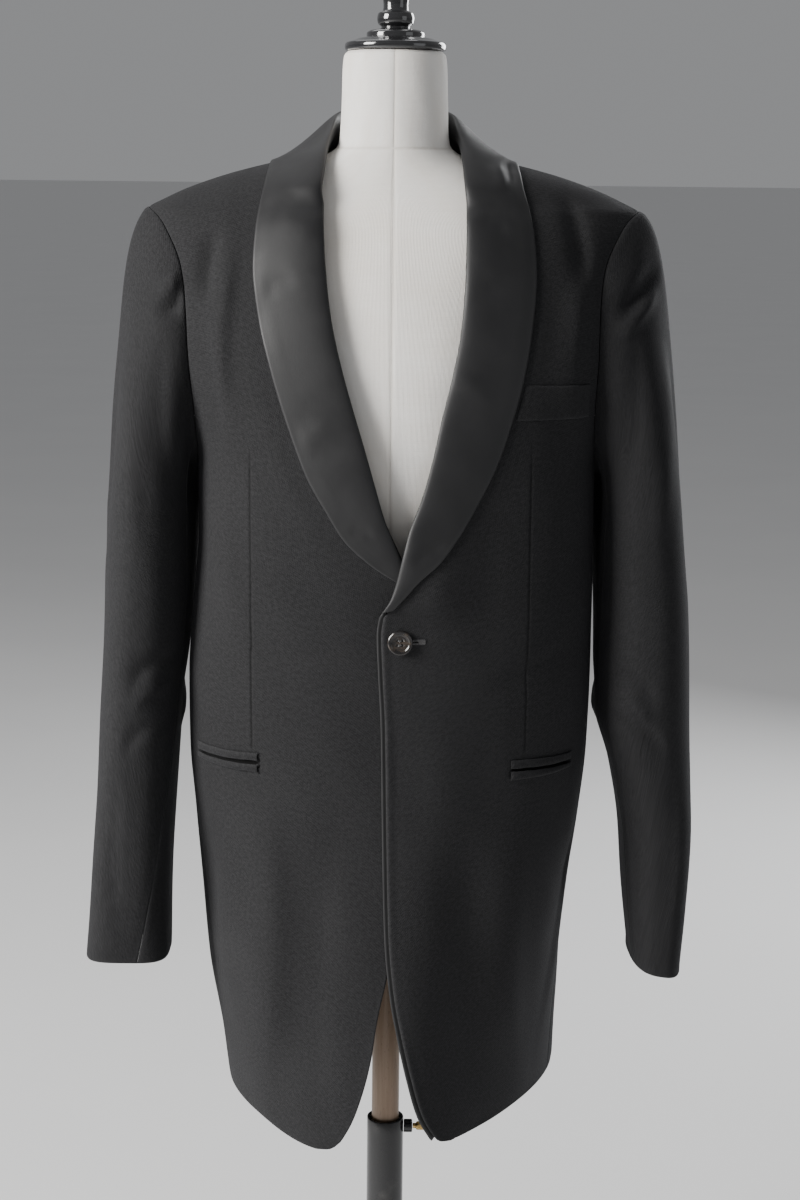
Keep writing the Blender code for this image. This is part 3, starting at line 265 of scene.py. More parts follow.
FORM = rows_of(FormRing, (
    (0.740, 0.1360, -0.084, 0.092, 2.1), (0.7430, 0.1460, -0.093, 0.101, 2.1),
    (0.7520, 0.1520, -0.098, 0.106, 2.1), (0.8000, 0.1580, -0.103, 0.108, 2.1),
    (0.8700, 0.1590, -0.105, 0.101, 2.1), (0.9400, 0.1520, -0.104, 0.092, 2.1),
    (1.0200, 0.1440, -0.106, 0.083, 2.1), (1.1000, 0.1520, -0.114, 0.090, 2.1),
    (1.1800, 0.1600, -0.1195, 0.098, 2.1), (1.2500, 0.1640, -0.1155, 0.101, 2.1),
    (1.3100, 0.1740, -0.1040, 0.099, 2.1), (1.3500, 0.1880, -0.0930, 0.093, 2.1),
    (1.3780, 0.1950, -0.0790, 0.084, 2.1), (1.3930, 0.1860, -0.0700, 0.077, 2.0),
    (1.4050, 0.1640, -0.0630, 0.073, 1.95), (1.4180, 0.1320, -0.0570, 0.067, 1.9),
    (1.4300, 0.0980, -0.0520, 0.061, 1.9), (1.4400, 0.0720, -0.0495, 0.056, 1.95),
    (1.4480, 0.0565, -0.0480, 0.053, 2.0), (1.4560, 0.0500, -0.0470, 0.051, 2.0),
    (1.4900, 0.0480, -0.0460, 0.049, 2.0), (1.5250, 0.0468, -0.0450, 0.048, 2.0),
    (1.5330, 0.0455, -0.0438, 0.0468, 2.0), (1.5362, 0.0425, -0.0410, 0.0440, 2.0),
))

CAP_PROFILE = (
    (0.0, 0.1060), (0.0085, 0.1050), (0.0140, 0.1000), (0.0162, 0.0920), (0.0158, 0.0800),
    (0.0143, 0.0650), (0.0122, 0.0480), (0.0112, 0.0390), (0.0118, 0.0350), (0.0158, 0.0325),
    (0.0168, 0.0280), (0.0158, 0.0235), (0.0128, 0.0205), (0.0165, 0.0190), (0.0235, 0.0175),
    (0.0262, 0.0150), (0.0262, 0.0120), (0.0330, 0.0108), (0.0400, 0.0082), (0.0448, 0.0066),
    (0.0458, 0.0040), (0.0452, 0.0010), (0.0440, 0.0), (0.0, 0.0),
)

BASE_PROFILE = (
    (0.0, 0.0200), (0.0600, 0.0200), (0.1400, 0.0175), (0.1740, 0.0140), (0.1820, 0.0105),
    (0.1850, 0.0060), (0.1840, 0.0020), (0.1820, 0.0), (0.0, 0.0),
)

SCREW_PROFILE = (
    (0.0, 0.0110), (0.0034, 0.0110), (0.0040, 0.0106), (0.0042, 0.0100), (0.0042, 0.0045),
    (0.0039, 0.0038), (0.0034, 0.0035), (0.0026, 0.0030), (0.0026, 0.0), (0.0, 0.0),
)

BUTTON_PROFILE = (
    (0.0, 0.0024), (0.0062, 0.0024), (0.0076, 0.0027), (0.0086, 0.0035), (0.0100, 0.0036),
    (0.0109, 0.0030), (0.01125, 0.0018), (0.0104, 0.0006), (0.0085, 0.0), (0.0, 0.0),
)

LAMPS = rows_of(Lamp, (
    ("key", (-2.9, -1.5, 2.3), (1.5, 2.2), 290.0, (1.0, 0.985, 0.96)),
    ("fill", (2.6, -1.7, 1.5), (1.6, 2.0), 7.0, (0.95, 0.97, 1.0)),
    ("top", (-0.3, 0.9, 3.2), (1.6, 1.6), 11.0, (1.0, 1.0, 1.0)),
    ("back", (1.9, 2.6, 2.0), (1.6, 2.0), 80.0, (0.98, 0.99, 1.0)),
))


# ---------------------------------------------------------------- curves
def monotone(knots: Array, values: Array, at: Array) -> Array:
    """Smooth curve through the values, level where they turn, so that it never runs past one of them.

    Args:
        knots: Rising places of the values.
        values: The values there.
        at: Where the curve is wanted.

    Returns:
        Cubic Hermite pieces whose slopes are weighted harmonic means of the slopes on either side.
    """
    knots, values = np.asarray(knots, float), np.asarray(values, float)
    at = np.clip(np.asarray(at, float), knots[0], knots[-1])
    step = np.diff(knots)
    slope = np.diff(values) / step
    before, after = slope[:-1], slope[1:]
    same = before * after > 0
    w_before, w_after = 2 * step[1:] + step[:-1], step[1:] + 2 * step[:-1]
    before, after = np.where(same, before, 1.0), np.where(same, after, 1.0)
    harmonic = (w_before + w_after) / (w_before / before + w_after / after)
    tangent = np.concatenate([slope[:1], np.where(same, harmonic, 0.0), slope[-1:]])
    i = np.clip(np.searchsorted(knots, at, side="right") - 1, 0, len(knots) - 2)
    h, t = step[i], (at - knots[i]) / step[i]
    rise = values[i] * (1 + 2 * t) * (1 - t) ** 2 + values[i + 1] * t * t * (3 - 2 * t)
    return rise + h * t * (1 - t) * (tangent[i] * (1 - t) - tangent[i + 1] * t)


def ease(low: float, high: float, at: Array) -> Array:
    """Smooth step from 0 at low to 1 at high; low may be the greater."""
    t = np.clip((at - low) / (high - low), 0.0, 1.0)
    return t * t * (3 - 2 * t)


def unit(vectors: Array) -> Array:
    """Vectors of length 1 along the last axis."""
    return vectors / np.maximum(np.linalg.norm(vectors, axis=-1, keepdims=True), 1e-12)


def bezier(a: Array, b: Array, c: Array, d: Array, t: Array) -> Array:
    """Cubic from a to d, leaving towards b and arriving from c, at t from 0 to 1."""
    return a * (1 - t) ** 3 + 3 * b * t * (1 - t) ** 2 + 3 * c * t * t * (1 - t) + d * t**3


class Table:
    """Rows of sizes with a smooth curve through each named column."""

    def __init__(self, rows: Sequence[NamedTuple], key: str = "z") -> None:
        """Sorts the rows by their key column."""
        self.rows = sorted(rows, key=lambda row: getattr(row, key))
        self.knots = np.array([getattr(row, key) for row in self.rows])

    def __call__(self, name: str, at: Array) -> Array:
        """Value of a named column at any place along the key."""
        return monotone(self.knots, np.array([getattr(row, name) for row in self.rows]), at)


# ---------------------------------------------------------------- the surfaces the cloth lies on
@dataclass
class BodyShape:
    """The closed surface that the fronts, sides and backs lie on."""

    seam_front: float = 82.0  # degrees round from centre front
    seam_back: float = 126.0
    armhole_mid_z: float = 1.275
    armhole_drop: float = 0.110
    armhole_front: float = 0.074
    armhole_back: float = 0.082
    overlap: float = 0.0045  # the buttoned front stands this far off the one below
    crossing: float = 0.0052  # and this much more where the lapels cross
    fade_height: float = 0.12
    soften: float = 0.0040  # height over which the rings are averaged, so that the shoulder has no hard line

    def __post_init__(self) -> None:
        """Sets up the curves through the rings, the hem and the front edges."""
        self.rings = Table(BODY)
        self.hem = Table(HEM, "degrees")
        self.edges = {True: Table(EDGE_LEFT), False: Table(EDGE_RIGHT)}
        self.armhole_top = SHOULDER_Z - self.armhole_mid_z

    def ring(self, z: Array, left: Array) -> tuple[Array, ...]:
        """Half-width, widest y, front y, back y, and front and back squareness at a height.

        Args:
            z: Height.
            left: Whether this is the wearer's left side.

        Returns:
            Half-width, widest y, front y, back y, front squareness and back squareness.
        """
        half = np.where(left, self.level("left", z), self.level("right", z))
        mid = np.where(left, self.level("mid_left", z), self.level("mid_right", z))
        power = np.where(left, self.level("pow_left", z), self.level("pow_right", z))
        return half, mid, self.level("front", z), self.level("back", z), power, self.level("pow_back", z)

    def level(self, name: str, z: Array) -> Array:
        """One of the rings' sizes at a height, as a weighted mean of five heights close to it."""
        steps = ((-1.0, 1), (-0.5, 2), (0.0, 3), (0.5, 2), (1.0, 1))
        return sum(weight * self.rings(name, z + step * self.soften) for step, weight in steps) / 9

    def face(self, tau: Array, z: Array) -> Array:
        """Point of the outer face: each ring is a superellipse, with its own squareness in front and behind.

        Args:
            tau: Turn in radians from centre front, the wearer's left positive.
            z: Height.

        Returns:
            Points, with x, y and z last.
        """
        tau, z = np.broadcast_arrays(np.asarray(tau, float), np.asarray(z, float))
        left = tau >= 0
        half, mid, front, back, pow_front, pow_back = self.ring(z, left)
        turn = np.abs(tau)
        ahead = turn <= math.pi / 2
        power = np.where(ahead, pow_front, pow_back)
        sine, cosine = np.abs(np.sin(turn)), np.abs(np.cos(turn))
        reach = (sine**power + cosine**power) ** (-1 / power)
        x = np.where(left, 1, -1) * half * reach * sine
        y = np.where(ahead, mid - (mid - front) * reach * cosine, mid + (back - mid) * reach * cosine)
        return np.stack([x, y, z], axis=-1)

    def lifted(self, tau: Array, z: Array, lift: Array | float = 0.0) -> Array:
        """Point at a lift above the face, along its normal, which is the cross product of its two slopes.

        Args:
            tau: Turn in radians from centre front, the wearer's left positive.
            z: Height.
            lift: Height above the face.

        Returns:
            Points, x, y and z last.
        """
        step = 1e-4
        du = self.face(tau + step, z) - self.face(tau - step, z)
        dv = self.face(tau, z + step) - self.face(tau, z - step)
        return self.face(tau, z) + unit(np.cross(du, dv)) * np.asarray(lift)[..., None]

    def tau_at_x(self, x: Array, z: Array) -> Array:
        """Turn round the front half at which the face lies x to the left of centre.

        Args:
            x: Distance to the wearer's left of centre.
            z: Height.

        Returns:
            Signed turn: the superellipse solved for its angle.
        """
        x, z = np.broadcast_arrays(np.asarray(x, float), np.asarray(z, float))
        half, _, _, _, power, _ = self.ring(z, x >= 0)
        across = np.clip(np.abs(x) / half, 0.0, 0.9999)
        return np.where(x >= 0, 1, -1) * np.arctan2(across, (1 - across**power) ** (1 / power))

    def turn_at_y(self, y: Array, z: Array, left: bool) -> Array:
        """Unsigned turn at which one side of the face lies at y.

        Args:
            y: Distance behind the pole.
            z: Height.
            left: Whether this is the wearer's left side.

        Returns:
            Unsigned turn: the superellipse solved for its angle, in front of or behind the widest place.
        """
        _, mid, front, back, pow_front, pow_back = self.ring(z, np.full(np.shape(z), left))
        ahead = y <= mid
        along = np.clip(np.where(ahead, (mid - y) / (mid - front), (y - mid) / (back - mid)), 0.0, 0.9999)
        power = np.where(ahead, pow_front, pow_back)
        turn = np.arctan2((1 - along**power) ** (1 / power), along)
        return np.where(ahead, turn, math.pi - turn)

    def armhole(self, angle: Array, left: bool) -> Array:
        """Point of the armhole: 0 at the shoulder point, 90 in front, 180 at the underarm.

        Args:
            angle: Degrees round, 0 at the shoulder or outside, 90 in front.
            left: Whether this is the wearer's left side.

        Returns:
            Points on two half ellipses, one above and one below the armhole's middle, pressed onto the face.
        """
        a = np.radians(angle)
        high = np.where(np.cos(a) >= 0, self.armhole_top, self.armhole_drop)
        z = self.armhole_mid_z + high * np.cos(a)
        y = -np.where(np.sin(a) >= 0, self.armhole_front, self.armhole_back) * np.sin(a)
        turn = self.turn_at_y(y, z, left)
        return self.face(turn if left else -turn, z)

    def rim(self, z: Array, left: bool, forward: bool) -> Array:
        """Turn of a panel's outer boundary: side seam, then armhole, then shoulder seam.

        Args:
            z: Height.
            left: Whether this is the wearer's left side.
            forward: Whether the panel is a front, not a back.

        Returns:
            Unsigned turn in radians at each height.
        """
        seam = np.full(np.shape(z), math.radians(self.seam_front if forward else self.seam_back))
        tall = np.where(z >= self.armhole_mid_z, self.armhole_top, self.armhole_drop)
        wide = np.sqrt(np.clip(1 - ((z - self.armhole_mid_z) / tall) ** 2, 0, 1))
        y = -self.armhole_front * wide if forward else self.armhole_back * wide
        at_arm = self.turn_at_y(y, z, left)
        lower = np.minimum(seam, at_arm) if forward else np.maximum(seam, at_arm)
        low = z <= self.armhole_mid_z - self.armhole_drop
        rim = np.where(z < self.armhole_mid_z, np.where(low, seam, lower), at_arm)
        return np.where(z >= SHOULDER_Z - 1e-9, math.pi / 2, rim)

    def gap(self, turn: Array, z: Array, width: Array | float) -> Array:
        """The turn that a gap of this width makes here."""
        near = np.linalg.norm(self.face(turn + 0.01, z) - self.face(turn, z), axis=-1)
        return width * 0.01 / np.maximum(near, 1e-6)

    def hem_drop(self, turn: Array, z: Array, left: bool) -> Array:
        """How far the cloth at this turn hangs above or below its nominal height, fading upwards."""
        dip = self.hem("left" if left else "right", np.degrees(turn)) - HEM_Z
        return dip * np.clip(1 - (z - HEM_Z) / self.fade_height, 0, 1)

    def overlap_lift(self, x: Array, z: Array) -> Array:
        """How far the buttoned front stands off the face, most where the lapels cross.

        Args:
            x: Distance to the wearer's left of centre.
            z: Height.

        Returns:
            Height above the face: a bump across, times a fade up the front.
        """
        near = monotone([-0.10, 0.035, 0.095, 0.2], [1.0, 1.0, 0.0, 0.0], x)
        crossing = monotone([0.9, 1.035, 1.060, 1.090, 1.16, 1.3], [0.0, 0.0, 1.0, 1.0, 0.0, 0.0], z)
        fade = monotone([0.5, 1.16, 1.24, 1.4], [1.0, 1.0, 0.0, 0.0], z)
        return near * fade * (self.overlap + self.crossing * crossing)

    def on_front(self, x: Array, z: Array, lift: Array | float, left: bool) -> Array:
        """Point of a front panel's outer side, x out from centre, at a lift above the cloth."""
        over = self.overlap_lift(x, z) if left else 0.0
        return self.lifted(self.tau_at_x(x * (1 if left else -1), z), z, lift + over)


@dataclass
class SleeveShape:
    """The tube of one sleeve: a head that runs out of the armhole, over and down, then an upright arm."""

    body: BodyShape
    left: bool
    leaves_underarm: tuple[float, float, float] = (0.0060, 0.0, -0.0160)
    meets_underarm: tuple[float, float, float] = (-0.0005, 0.0, 0.0120)
    meets_shoulder: tuple[float, float, float] = (-0.0130, 0.0, 0.1260)
    cuff_slope: float = 0.14

    def __post_init__(self) -> None:
        """Picks this side's table and crown."""
        self.table = Table(SLEEVE_LEFT if self.left else SLEEVE_RIGHT)
        self.crown = (0.0320, 0.0, -0.0060) if self.left else (0.0290, 0.0, -0.0080)
        self.cuff_z = float(self.table.knots[0])

    def section(self, angle: Array, z: Array) -> Array:
        """Point of the arm: a superellipse whose front leans outward by its shear, x outward.

        Args:
            angle: Degrees round, 0 at the shoulder or outside, 90 in front.
            z: Height.

        Returns:
            Points, x outward.
        """
        inner, outer = self.table("inner", z), self.table("outer", z)
        front, back = self.table("front", z), self.table("back", z)
        power, shear = self.table("power", z), self.table("shear", z)
        a = np.radians(angle)
        cosine, sine = np.cos(a), np.sin(a)
        reach = (np.abs(cosine) ** power + np.abs(sine) ** power) ** (-1 / power)
        middle = (front + back) / 2
        y = middle - (back - front) / 2 * reach * sine
        x = (inner + outer) / 2 + (outer - inner) / 2 * reach * cosine - (y - middle) * shear
        return np.stack([x, y, np.broadcast_to(z, x.shape)], axis=-1)

    def head(self, angle: Array, t: Array) -> Array:
        """Cubic from each armhole point, leaving outward and arriving upright on the arm, t from 0 to 1.

        Args:
            angle: Degrees round, 0 at the shoulder or outside, 90 in front.
            t: 0 at the armhole, 1 at the arm.

        Returns:
            Points, x outward.
        """
        flip = np.array([1.0 if self.left else -1.0, 1.0, 1.0])
        start = self.body.armhole(angle, self.left) * flip
        end = self.section(angle, np.full(np.shape(angle), SLEEVE_JOIN_Z))
        a = np.radians(angle)[..., None]
        top = (1 + np.cos(a)) / 2
        sway = np.sin(a) * np.array([0.0, -0.011, 0.0])
        out = (1 - top) * np.array(self.leaves_underarm) + top * np.array(self.crown) + sway
        rise = (1 - top) * np.array(self.meets_underarm) + top * np.array(self.meets_shoulder)
        start = start + unit(out) * SEAM_GAP / 2
        return bezier(start, start + out, end + rise, end, t[..., None])

    def point(self, angle: Array, down: Array) -> Array:
        """Point of the sleeve.

        Args:
            angle: Degrees round the sleeve.
            down: 0 at the armhole, 1 where the head meets the arm, 2 at the cuff.

        Returns:
            Points in the model's frame, the left cuff lower on its outer side.
        """
        z = SLEEVE_JOIN_Z + (self.cuff_z - SLEEVE_JOIN_Z) * np.clip(down - 1, 0, 1)
        t = np.clip(down, 0, 1)
        point = np.where((down <= 1)[..., None], self.head(angle, t), self.section(angle, z))
        if self.left:
            lowered = np.clip((SLEEVE_JOIN_Z - z) / 0.4, 0, 1)
            point[..., 2] -= lowered * (point[..., 0] - 0.25) * self.cuff_slope
        return point * ((1, 1, 1) if self.left else (-1, 1, 1))

    def seams(self, down: Array) -> tuple[Array, Array]:
        """Angles of the front and back seams, sliding from the armhole's places to the arm's.

        Args:
            down: 0 at the armhole, 1 where the head meets the arm, 2 at the cuff.

        Returns:
            Degrees of the front and of the back seam.
        """
        z = SLEEVE_JOIN_Z + (self.cuff_z - SLEEVE_JOIN_Z) * np.clip(down - 1, 0, 1)
        near = np.clip(1 - down, 0, 1)
        front, back = self.table("seam_front", z), self.table("seam_back", z)
        return front + (138.0 - front) * near, back + (250.0 - back) * near


@dataclass
class CollarShape:
    """One half of the shawl collar: a fold carried from the front break round to the centre back."""

    body: BodyShape
    left: bool
    turned_in: float = 0.27  # share of the grid on the part inside the roll

    def __post_init__(self) -> None:
        """Works out the foot, roll and outer edge of every section from the tables."""
        rows = []
        sign = 1 if self.left else -1
        for row in LAPEL_LEFT if self.left else LAPEL_RIGHT:
            (rx, rz), (ex, ez) = row.roll, row.edge
            lx, lz = rx + (ex - rx) * row.leg, rz + (ez - rz) * row.leg
            xs, zs = np.array([rx, ex, lx]) * sign, np.array([rz, ez, lz])
            base = self.body.overlap_lift(xs, zs) if self.left else np.zeros(3)
            lift = base + np.array([0.0006, SATIN + 0.0012, -WOOL - SATIN - 0.0014])
            points = self.body.lifted(self.body.tau_at_x(xs, zs), zs, lift)
            rows.append((points[2], points[0], points[1], row.rise, row.belly))
        flip = np.array([sign, 1, 1])
        rows += [(row.leg * flip, row.roll * flip, row.edge * flip, row.rise, row.belly) for row in NECK]
        self.foot, self.roll, self.edge, self.rise, self.belly = (np.array(part, float) for part in zip(*rows))
        self.last = len(rows) - 1

    def along(self, values: Array, at: Array) -> Array:
        """Smooth curve through the sections' values, numbers or points.

        Args:
            values: One number or point for each section.
            at: Section number, with fractions.

        Returns:
            The curve's values there.
        """
        knots = np.arange(self.last + 1)
        if values.ndim == 1:
            return monotone(knots, values, at)
        return np.stack([monotone(knots, values[:, i], at) for i in range(3)], axis=-1)

    def point(self, u: Array, v: Array) -> Array:
        """Point of the fold: u runs up the inside, over the roll and down the fall, v from break to back.

        Args:
            u: 0 at the foot, 1 at the outer edge.
            v: 0 at the front break, 1 at the centre back.

        Returns:
            Two cubics that meet level at the roll, as full as the section's rise and belly.
        """
        at = v * self.last
        foot, fold, rim = (self.along(values, at) for values in (self.foot, self.roll, self.edge))
        high, full = self.along(self.rise, at)[..., None], self.along(self.belly, at)[..., None]
        width = rim - fold
        along = unit(width)
        middle = (fold + rim) / 2
        guess = middle - np.stack([np.zeros_like(at), np.zeros_like(at), fold[..., 2] - 0.03], axis=-1)
        normal = unit(guess - (guess * along).sum(-1, keepdims=True) * along)
        s = np.clip(u / self.turned_in, 0, 1)[..., None]
        t = np.clip((u - self.turned_in) / (1 - self.turned_in), 0, 1)[..., None] ** 1.25
        depth = ((fold - foot) * normal).sum(-1, keepdims=True)
        run = fold - foot - normal * depth
        inside = fold - normal * np.minimum(0.95 * depth, 0.75 * high)
        up = bezier(foot, foot + run * 0.75, inside, fold, s)
        down = bezier(fold, fold + normal * high, rim - width * 0.55 + normal * full, rim, t)
        return np.where((u <= self.turned_in)[..., None], up, down)


# ---------------------------------------------------------------- folds and grids
class View(Enum):
    """The side that a fold is drawn from, as the two axes its line lies in and the side it shows on."""

    FRONT = (0, 2, 1, -1.0)
    BACK = (0, 2, 1, 1.0)
    LEFT = (1, 2, 0, 1.0)
    RIGHT = (1, 2, 0, -1.0)


@dataclass(frozen=True)
class Fold:
    """A soft trough (deep below 0) or ridge, drawn as a line that bows sideways by a share of its length."""

    start: Pair
    stop: Pair
    wide: float
    deep: float
    view: View = View.FRONT
    bow: float = 0.0
    shown_past: float = 0.0  # the third coordinate past which it shows, measured towards the viewer

    def height(self, points: Array) -> Array:
        """Rise of the cloth: a bell across the line, level along its middle and eased out at both ends.

        Args:
            points: Points, x, y and z last.

        Returns:
            Height to add at each point.
        """
        across, up, depth, sign = self.view.value
        a, b = np.array(self.start), np.array(self.stop)
        run = b - a
        length = float(np.linalg.norm(run))
        ahead = run / length
        rel = np.stack([points[..., across], points[..., up]], axis=-1) - a
        t = (rel @ ahead) / length
        off = rel @ np.array([-ahead[1], ahead[0]]) - self.bow * length * 4 * t * (1 - t)
        steep = np.where(off > 0, 0.75, 1.25)
        bell = np.exp(-((off / (self.wide * steep)) ** 2))
        ends = ease(-0.12, 0.35, t) * ease(1.12, 0.65, t)
        seen = ease(-0.012, 0.012, sign * points[..., depth] - self.shown_past)
        return self.deep * bell * ends * seen


def drawn(view: View, *rows: tuple[float, ...]) -> list[Fold]:
    """Folds seen from one side.

    Args:
        view: The side.
        rows: For each fold its start and stop along the side's two axes, its width, depth and bow.

    Returns:
        The folds, in the same order.
    """
    return [Fold((a, b), (c, d), wide, deep, view, bow) for a, b, c, d, wide, deep, bow in rows]


def ripple(points: Array, height: float, seed: float) -> Array:
    """Slow uneven swell of hanging cloth: three crossed sine waves of 6 to 19 cm whose phases follow the seed.

    Args:
        points: Points, x, y and z last.
        height: Greatest height.
        seed: Shifts the waves.

    Returns:
        Height to add at each point.
    """
    x, y, z = points[..., 0], points[..., 1], points[..., 2]
    one = np.sin(33.0 * x + 11.0 * z + 7.0 * y + seed)
    two = np.sin(61.0 * x - 17.0 * z + 23.0 * y + 2.3 * seed)
    three = np.sin(103.0 * x + 41.0 * z - 37.0 * y + 4.1 * seed)
    return height * (0.5 * one + 0.32 * two + 0.18 * three)


def close_at(count: int, places: Sequence[float], steps: Sequence[float]) -> Array:
    """Places from 0 to 1, even but for closer ones on either side of each given place, and at both ends.

    Args:
        count: How many even places.
        places: Where more are wanted.
        steps: How far from each the closer ones lie.

    Returns:
        Rising places.
    """
    tight = [0.0, 1.0]
    for place in (0.0, *places, 1.0):
        tight += [place + side * step for step in (0.0, *steps) for side in (-1, 1)]
    tight = np.array([t for t in tight if 0.0 <= t <= 1.0])
    even = np.linspace(0, 1, count)
    clear = np.abs(even[:, None] - tight[None, :]).min(axis=1) > 0.6 / count
    return np.unique(np.round(np.concatenate([tight, even[clear]]), 6))


def walked(points: Array, axis: int) -> Array:
    """Distance along a grid's rows (axis 1) or columns (axis 0) from their first point.

    Args:
        points: Points, x, y and z last.
        axis: The grid's axis to walk along.

    Returns:
        Distance at each point.
    """
    steps = np.linalg.norm(np.diff(points, axis=axis), axis=-1)
    pad = [(0, 0), (0, 0)]
    pad[axis] = (1, 0)
    return np.pad(np.cumsum(steps, axis=axis), pad)


def grid_faces(rows: int, columns: int, around: bool = False) -> Array:
    """Four corners of every face of a grid, the last column joined to the first if it runs around.

    Args:
        rows: Points one way.
        columns: Points the other way.
        around: Whether the last column joins the first.

    Returns:
        Rows of four point numbers.
    """
    i, j = np.meshgrid(np.arange(rows - 1), np.arange(columns if around else columns - 1), indexing="ij")
    k = (j + 1) % columns
    return np.stack([i * columns + j, i * columns + k, (i + 1) * columns + k, (i + 1) * columns + j], -1).reshape(-1, 4)


def make_mesh(name: str, points: Array, faces: Array, more: Sequence[Sequence[int]] = ()) -> bpy.types.Object:
    """New object whose mesh holds these points and faces, smooth, at the origin.

    Args:
        name: The object's name.
        points: Points as rows of x, y and z.
        faces: Rows of four corners.
        more: Further faces with any number of corners.

    Returns:
        The object, linked to the scene.
    """
    mesh = bpy.data.meshes.new(name)
    mesh.from_pydata(points.reshape(-1, 3).tolist(), [], faces.tolist() + [list(face) for face in more])
    mesh.shade_smooth()
    made = bpy.data.objects.new(name, mesh)
    bpy.context.scene.collection.objects.link(made)
    return made


def add_uv(made: bpy.types.Object, across: Array, along: Array) -> None:
    """Gives each point its own place on the cloth, in metres, as the UV map called weave.

    Args:
        made: The piece.
        across: Distance across the cloth at each point.
        along: Distance along it.
    """
    mesh = made.data
    corner = np.empty(len(mesh.loops), np.int32)
    mesh.loops.foreach_get("vertex_index", corner)
    places = np.stack([across.reshape(-1), along.reshape(-1)], axis=-1)[corner]
    mesh.uv_layers.new(name="weave").data.foreach_set("uv", places.astype(np.float32).reshape(-1))


def add_share(made: bpy.types.Object, name: str, values: Array) -> None:
    """Stores one number for each point, for a finish to read."""
    layer = made.data.attributes.new(name, "FLOAT", "POINT")
    layer.data.foreach_set("value", np.clip(values, 0, 1).astype(np.float32).reshape(-1))


@dataclass
class Sheet:
    """One cut piece of cloth: a grid of points on its outer side, with its folds, edges and wall."""

    name: str  # the solid that it takes the place of
    points: Array
    thick: float
    axis: Pair = (0.0, 0.0)  # the upright line that its outer side faces away from
    folds: Sequence[Fold] = ()
    swell: float = 0.0
    seed: float = 0.0
    steady: Array | float = 1.0  # how much of the folds and swell each point takes
    calm: float = 0.012  # distance from its edges within which they die away
    relief: Array | float = 0.0  # further height at each point
    seam: Array | float = 0.0  # how far into a seam groove or recess each point is, 0 to 1; the wool and satin finishes darken it as painted shade
    turnup: Array | float = 0.0  # where the inner side is the cloth's own turned-up edge, 0 to 1
    edge_round: float = 0.0015
    held: str = "hung"
    rests_on: tuple[str, ...] = ("form_torso_linen",)

    def build(self, looks: Sequence[bpy.types.Material], slot: str) -> bpy.types.Object:
        """Raises the folds along the normals, rounds the edges, gives the piece its wall and states its cut.

        Args:
            looks: The outer finish and, if the inside differs, the inner one.
            slot: The record's material slot; not used.

        Returns:
            The finished piece, riding on the form.
        """
        base = self.points
        normal = unit(np.cross(np.gradient(base, axis=1), np.gradient(base, axis=0)))
        away = (normal[..., :2] * (base[..., :2] - np.array(self.axis))).sum()
        faces = grid_faces(*base.shape[:2])
        across, along = walked(base, 1), walked(base, 0)
        if away < 0:
            normal, faces = -normal, faces[:, ::-1]
        to_side = np.minimum(across, across[:, -1:] - across)
        to_end = np.minimum(along, along[-1:, :] - along)
        border = np.minimum(to_side, to_end)
        height = sum((fold.height(base) for fold in self.folds), ripple(base, self.swell, self.seed)) * self.steady
        if self.calm > 0:
            height = height * ease(0.0, self.calm, border)
        height = height + self.relief
        height = height - 0.4 * self.thick * np.clip(1 - border / self.edge_round, 0, 1) ** 2
        made = make_mesh(self.name + "_cloth", base + normal * height[..., None], faces)
        add_uv(made, across + self.seed * 0.01, along)
        worn = np.exp(-((border / 0.0022) ** 2))
        add_share(made, "edge", worn)
        add_share(made, "seam", np.broadcast_to(np.asarray(self.seam, float), border.shape))
        add_share(made, "turnup", np.broadcast_to(np.asarray(self.turnup, float), border.shape))
        wall = made.modifiers.new("wall", "SOLIDIFY")
        wall.thickness, wall.offset = self.thick, -1.0
        for look in looks:
            made.data.materials.append(look)
        wall.material_offset = len(looks) - 1
        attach(made, "form")
        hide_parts(self.name)
        wide, long = max(float(across[:, -1].max()), 0.0101), float(along[-1].max())
        cell = np.cross(base[1:, 1:] - base[:-1, :-1], base[1:, :-1] - base[:-1, 1:])
        area = float(np.linalg.norm(cell, axis=-1).sum() / 2)
        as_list(self.rests_on)
        LOG.info("%s: %d points, cut %.3f x %.3f m, %.4f m2", self.name, border.size, wide, long, area)
        return made


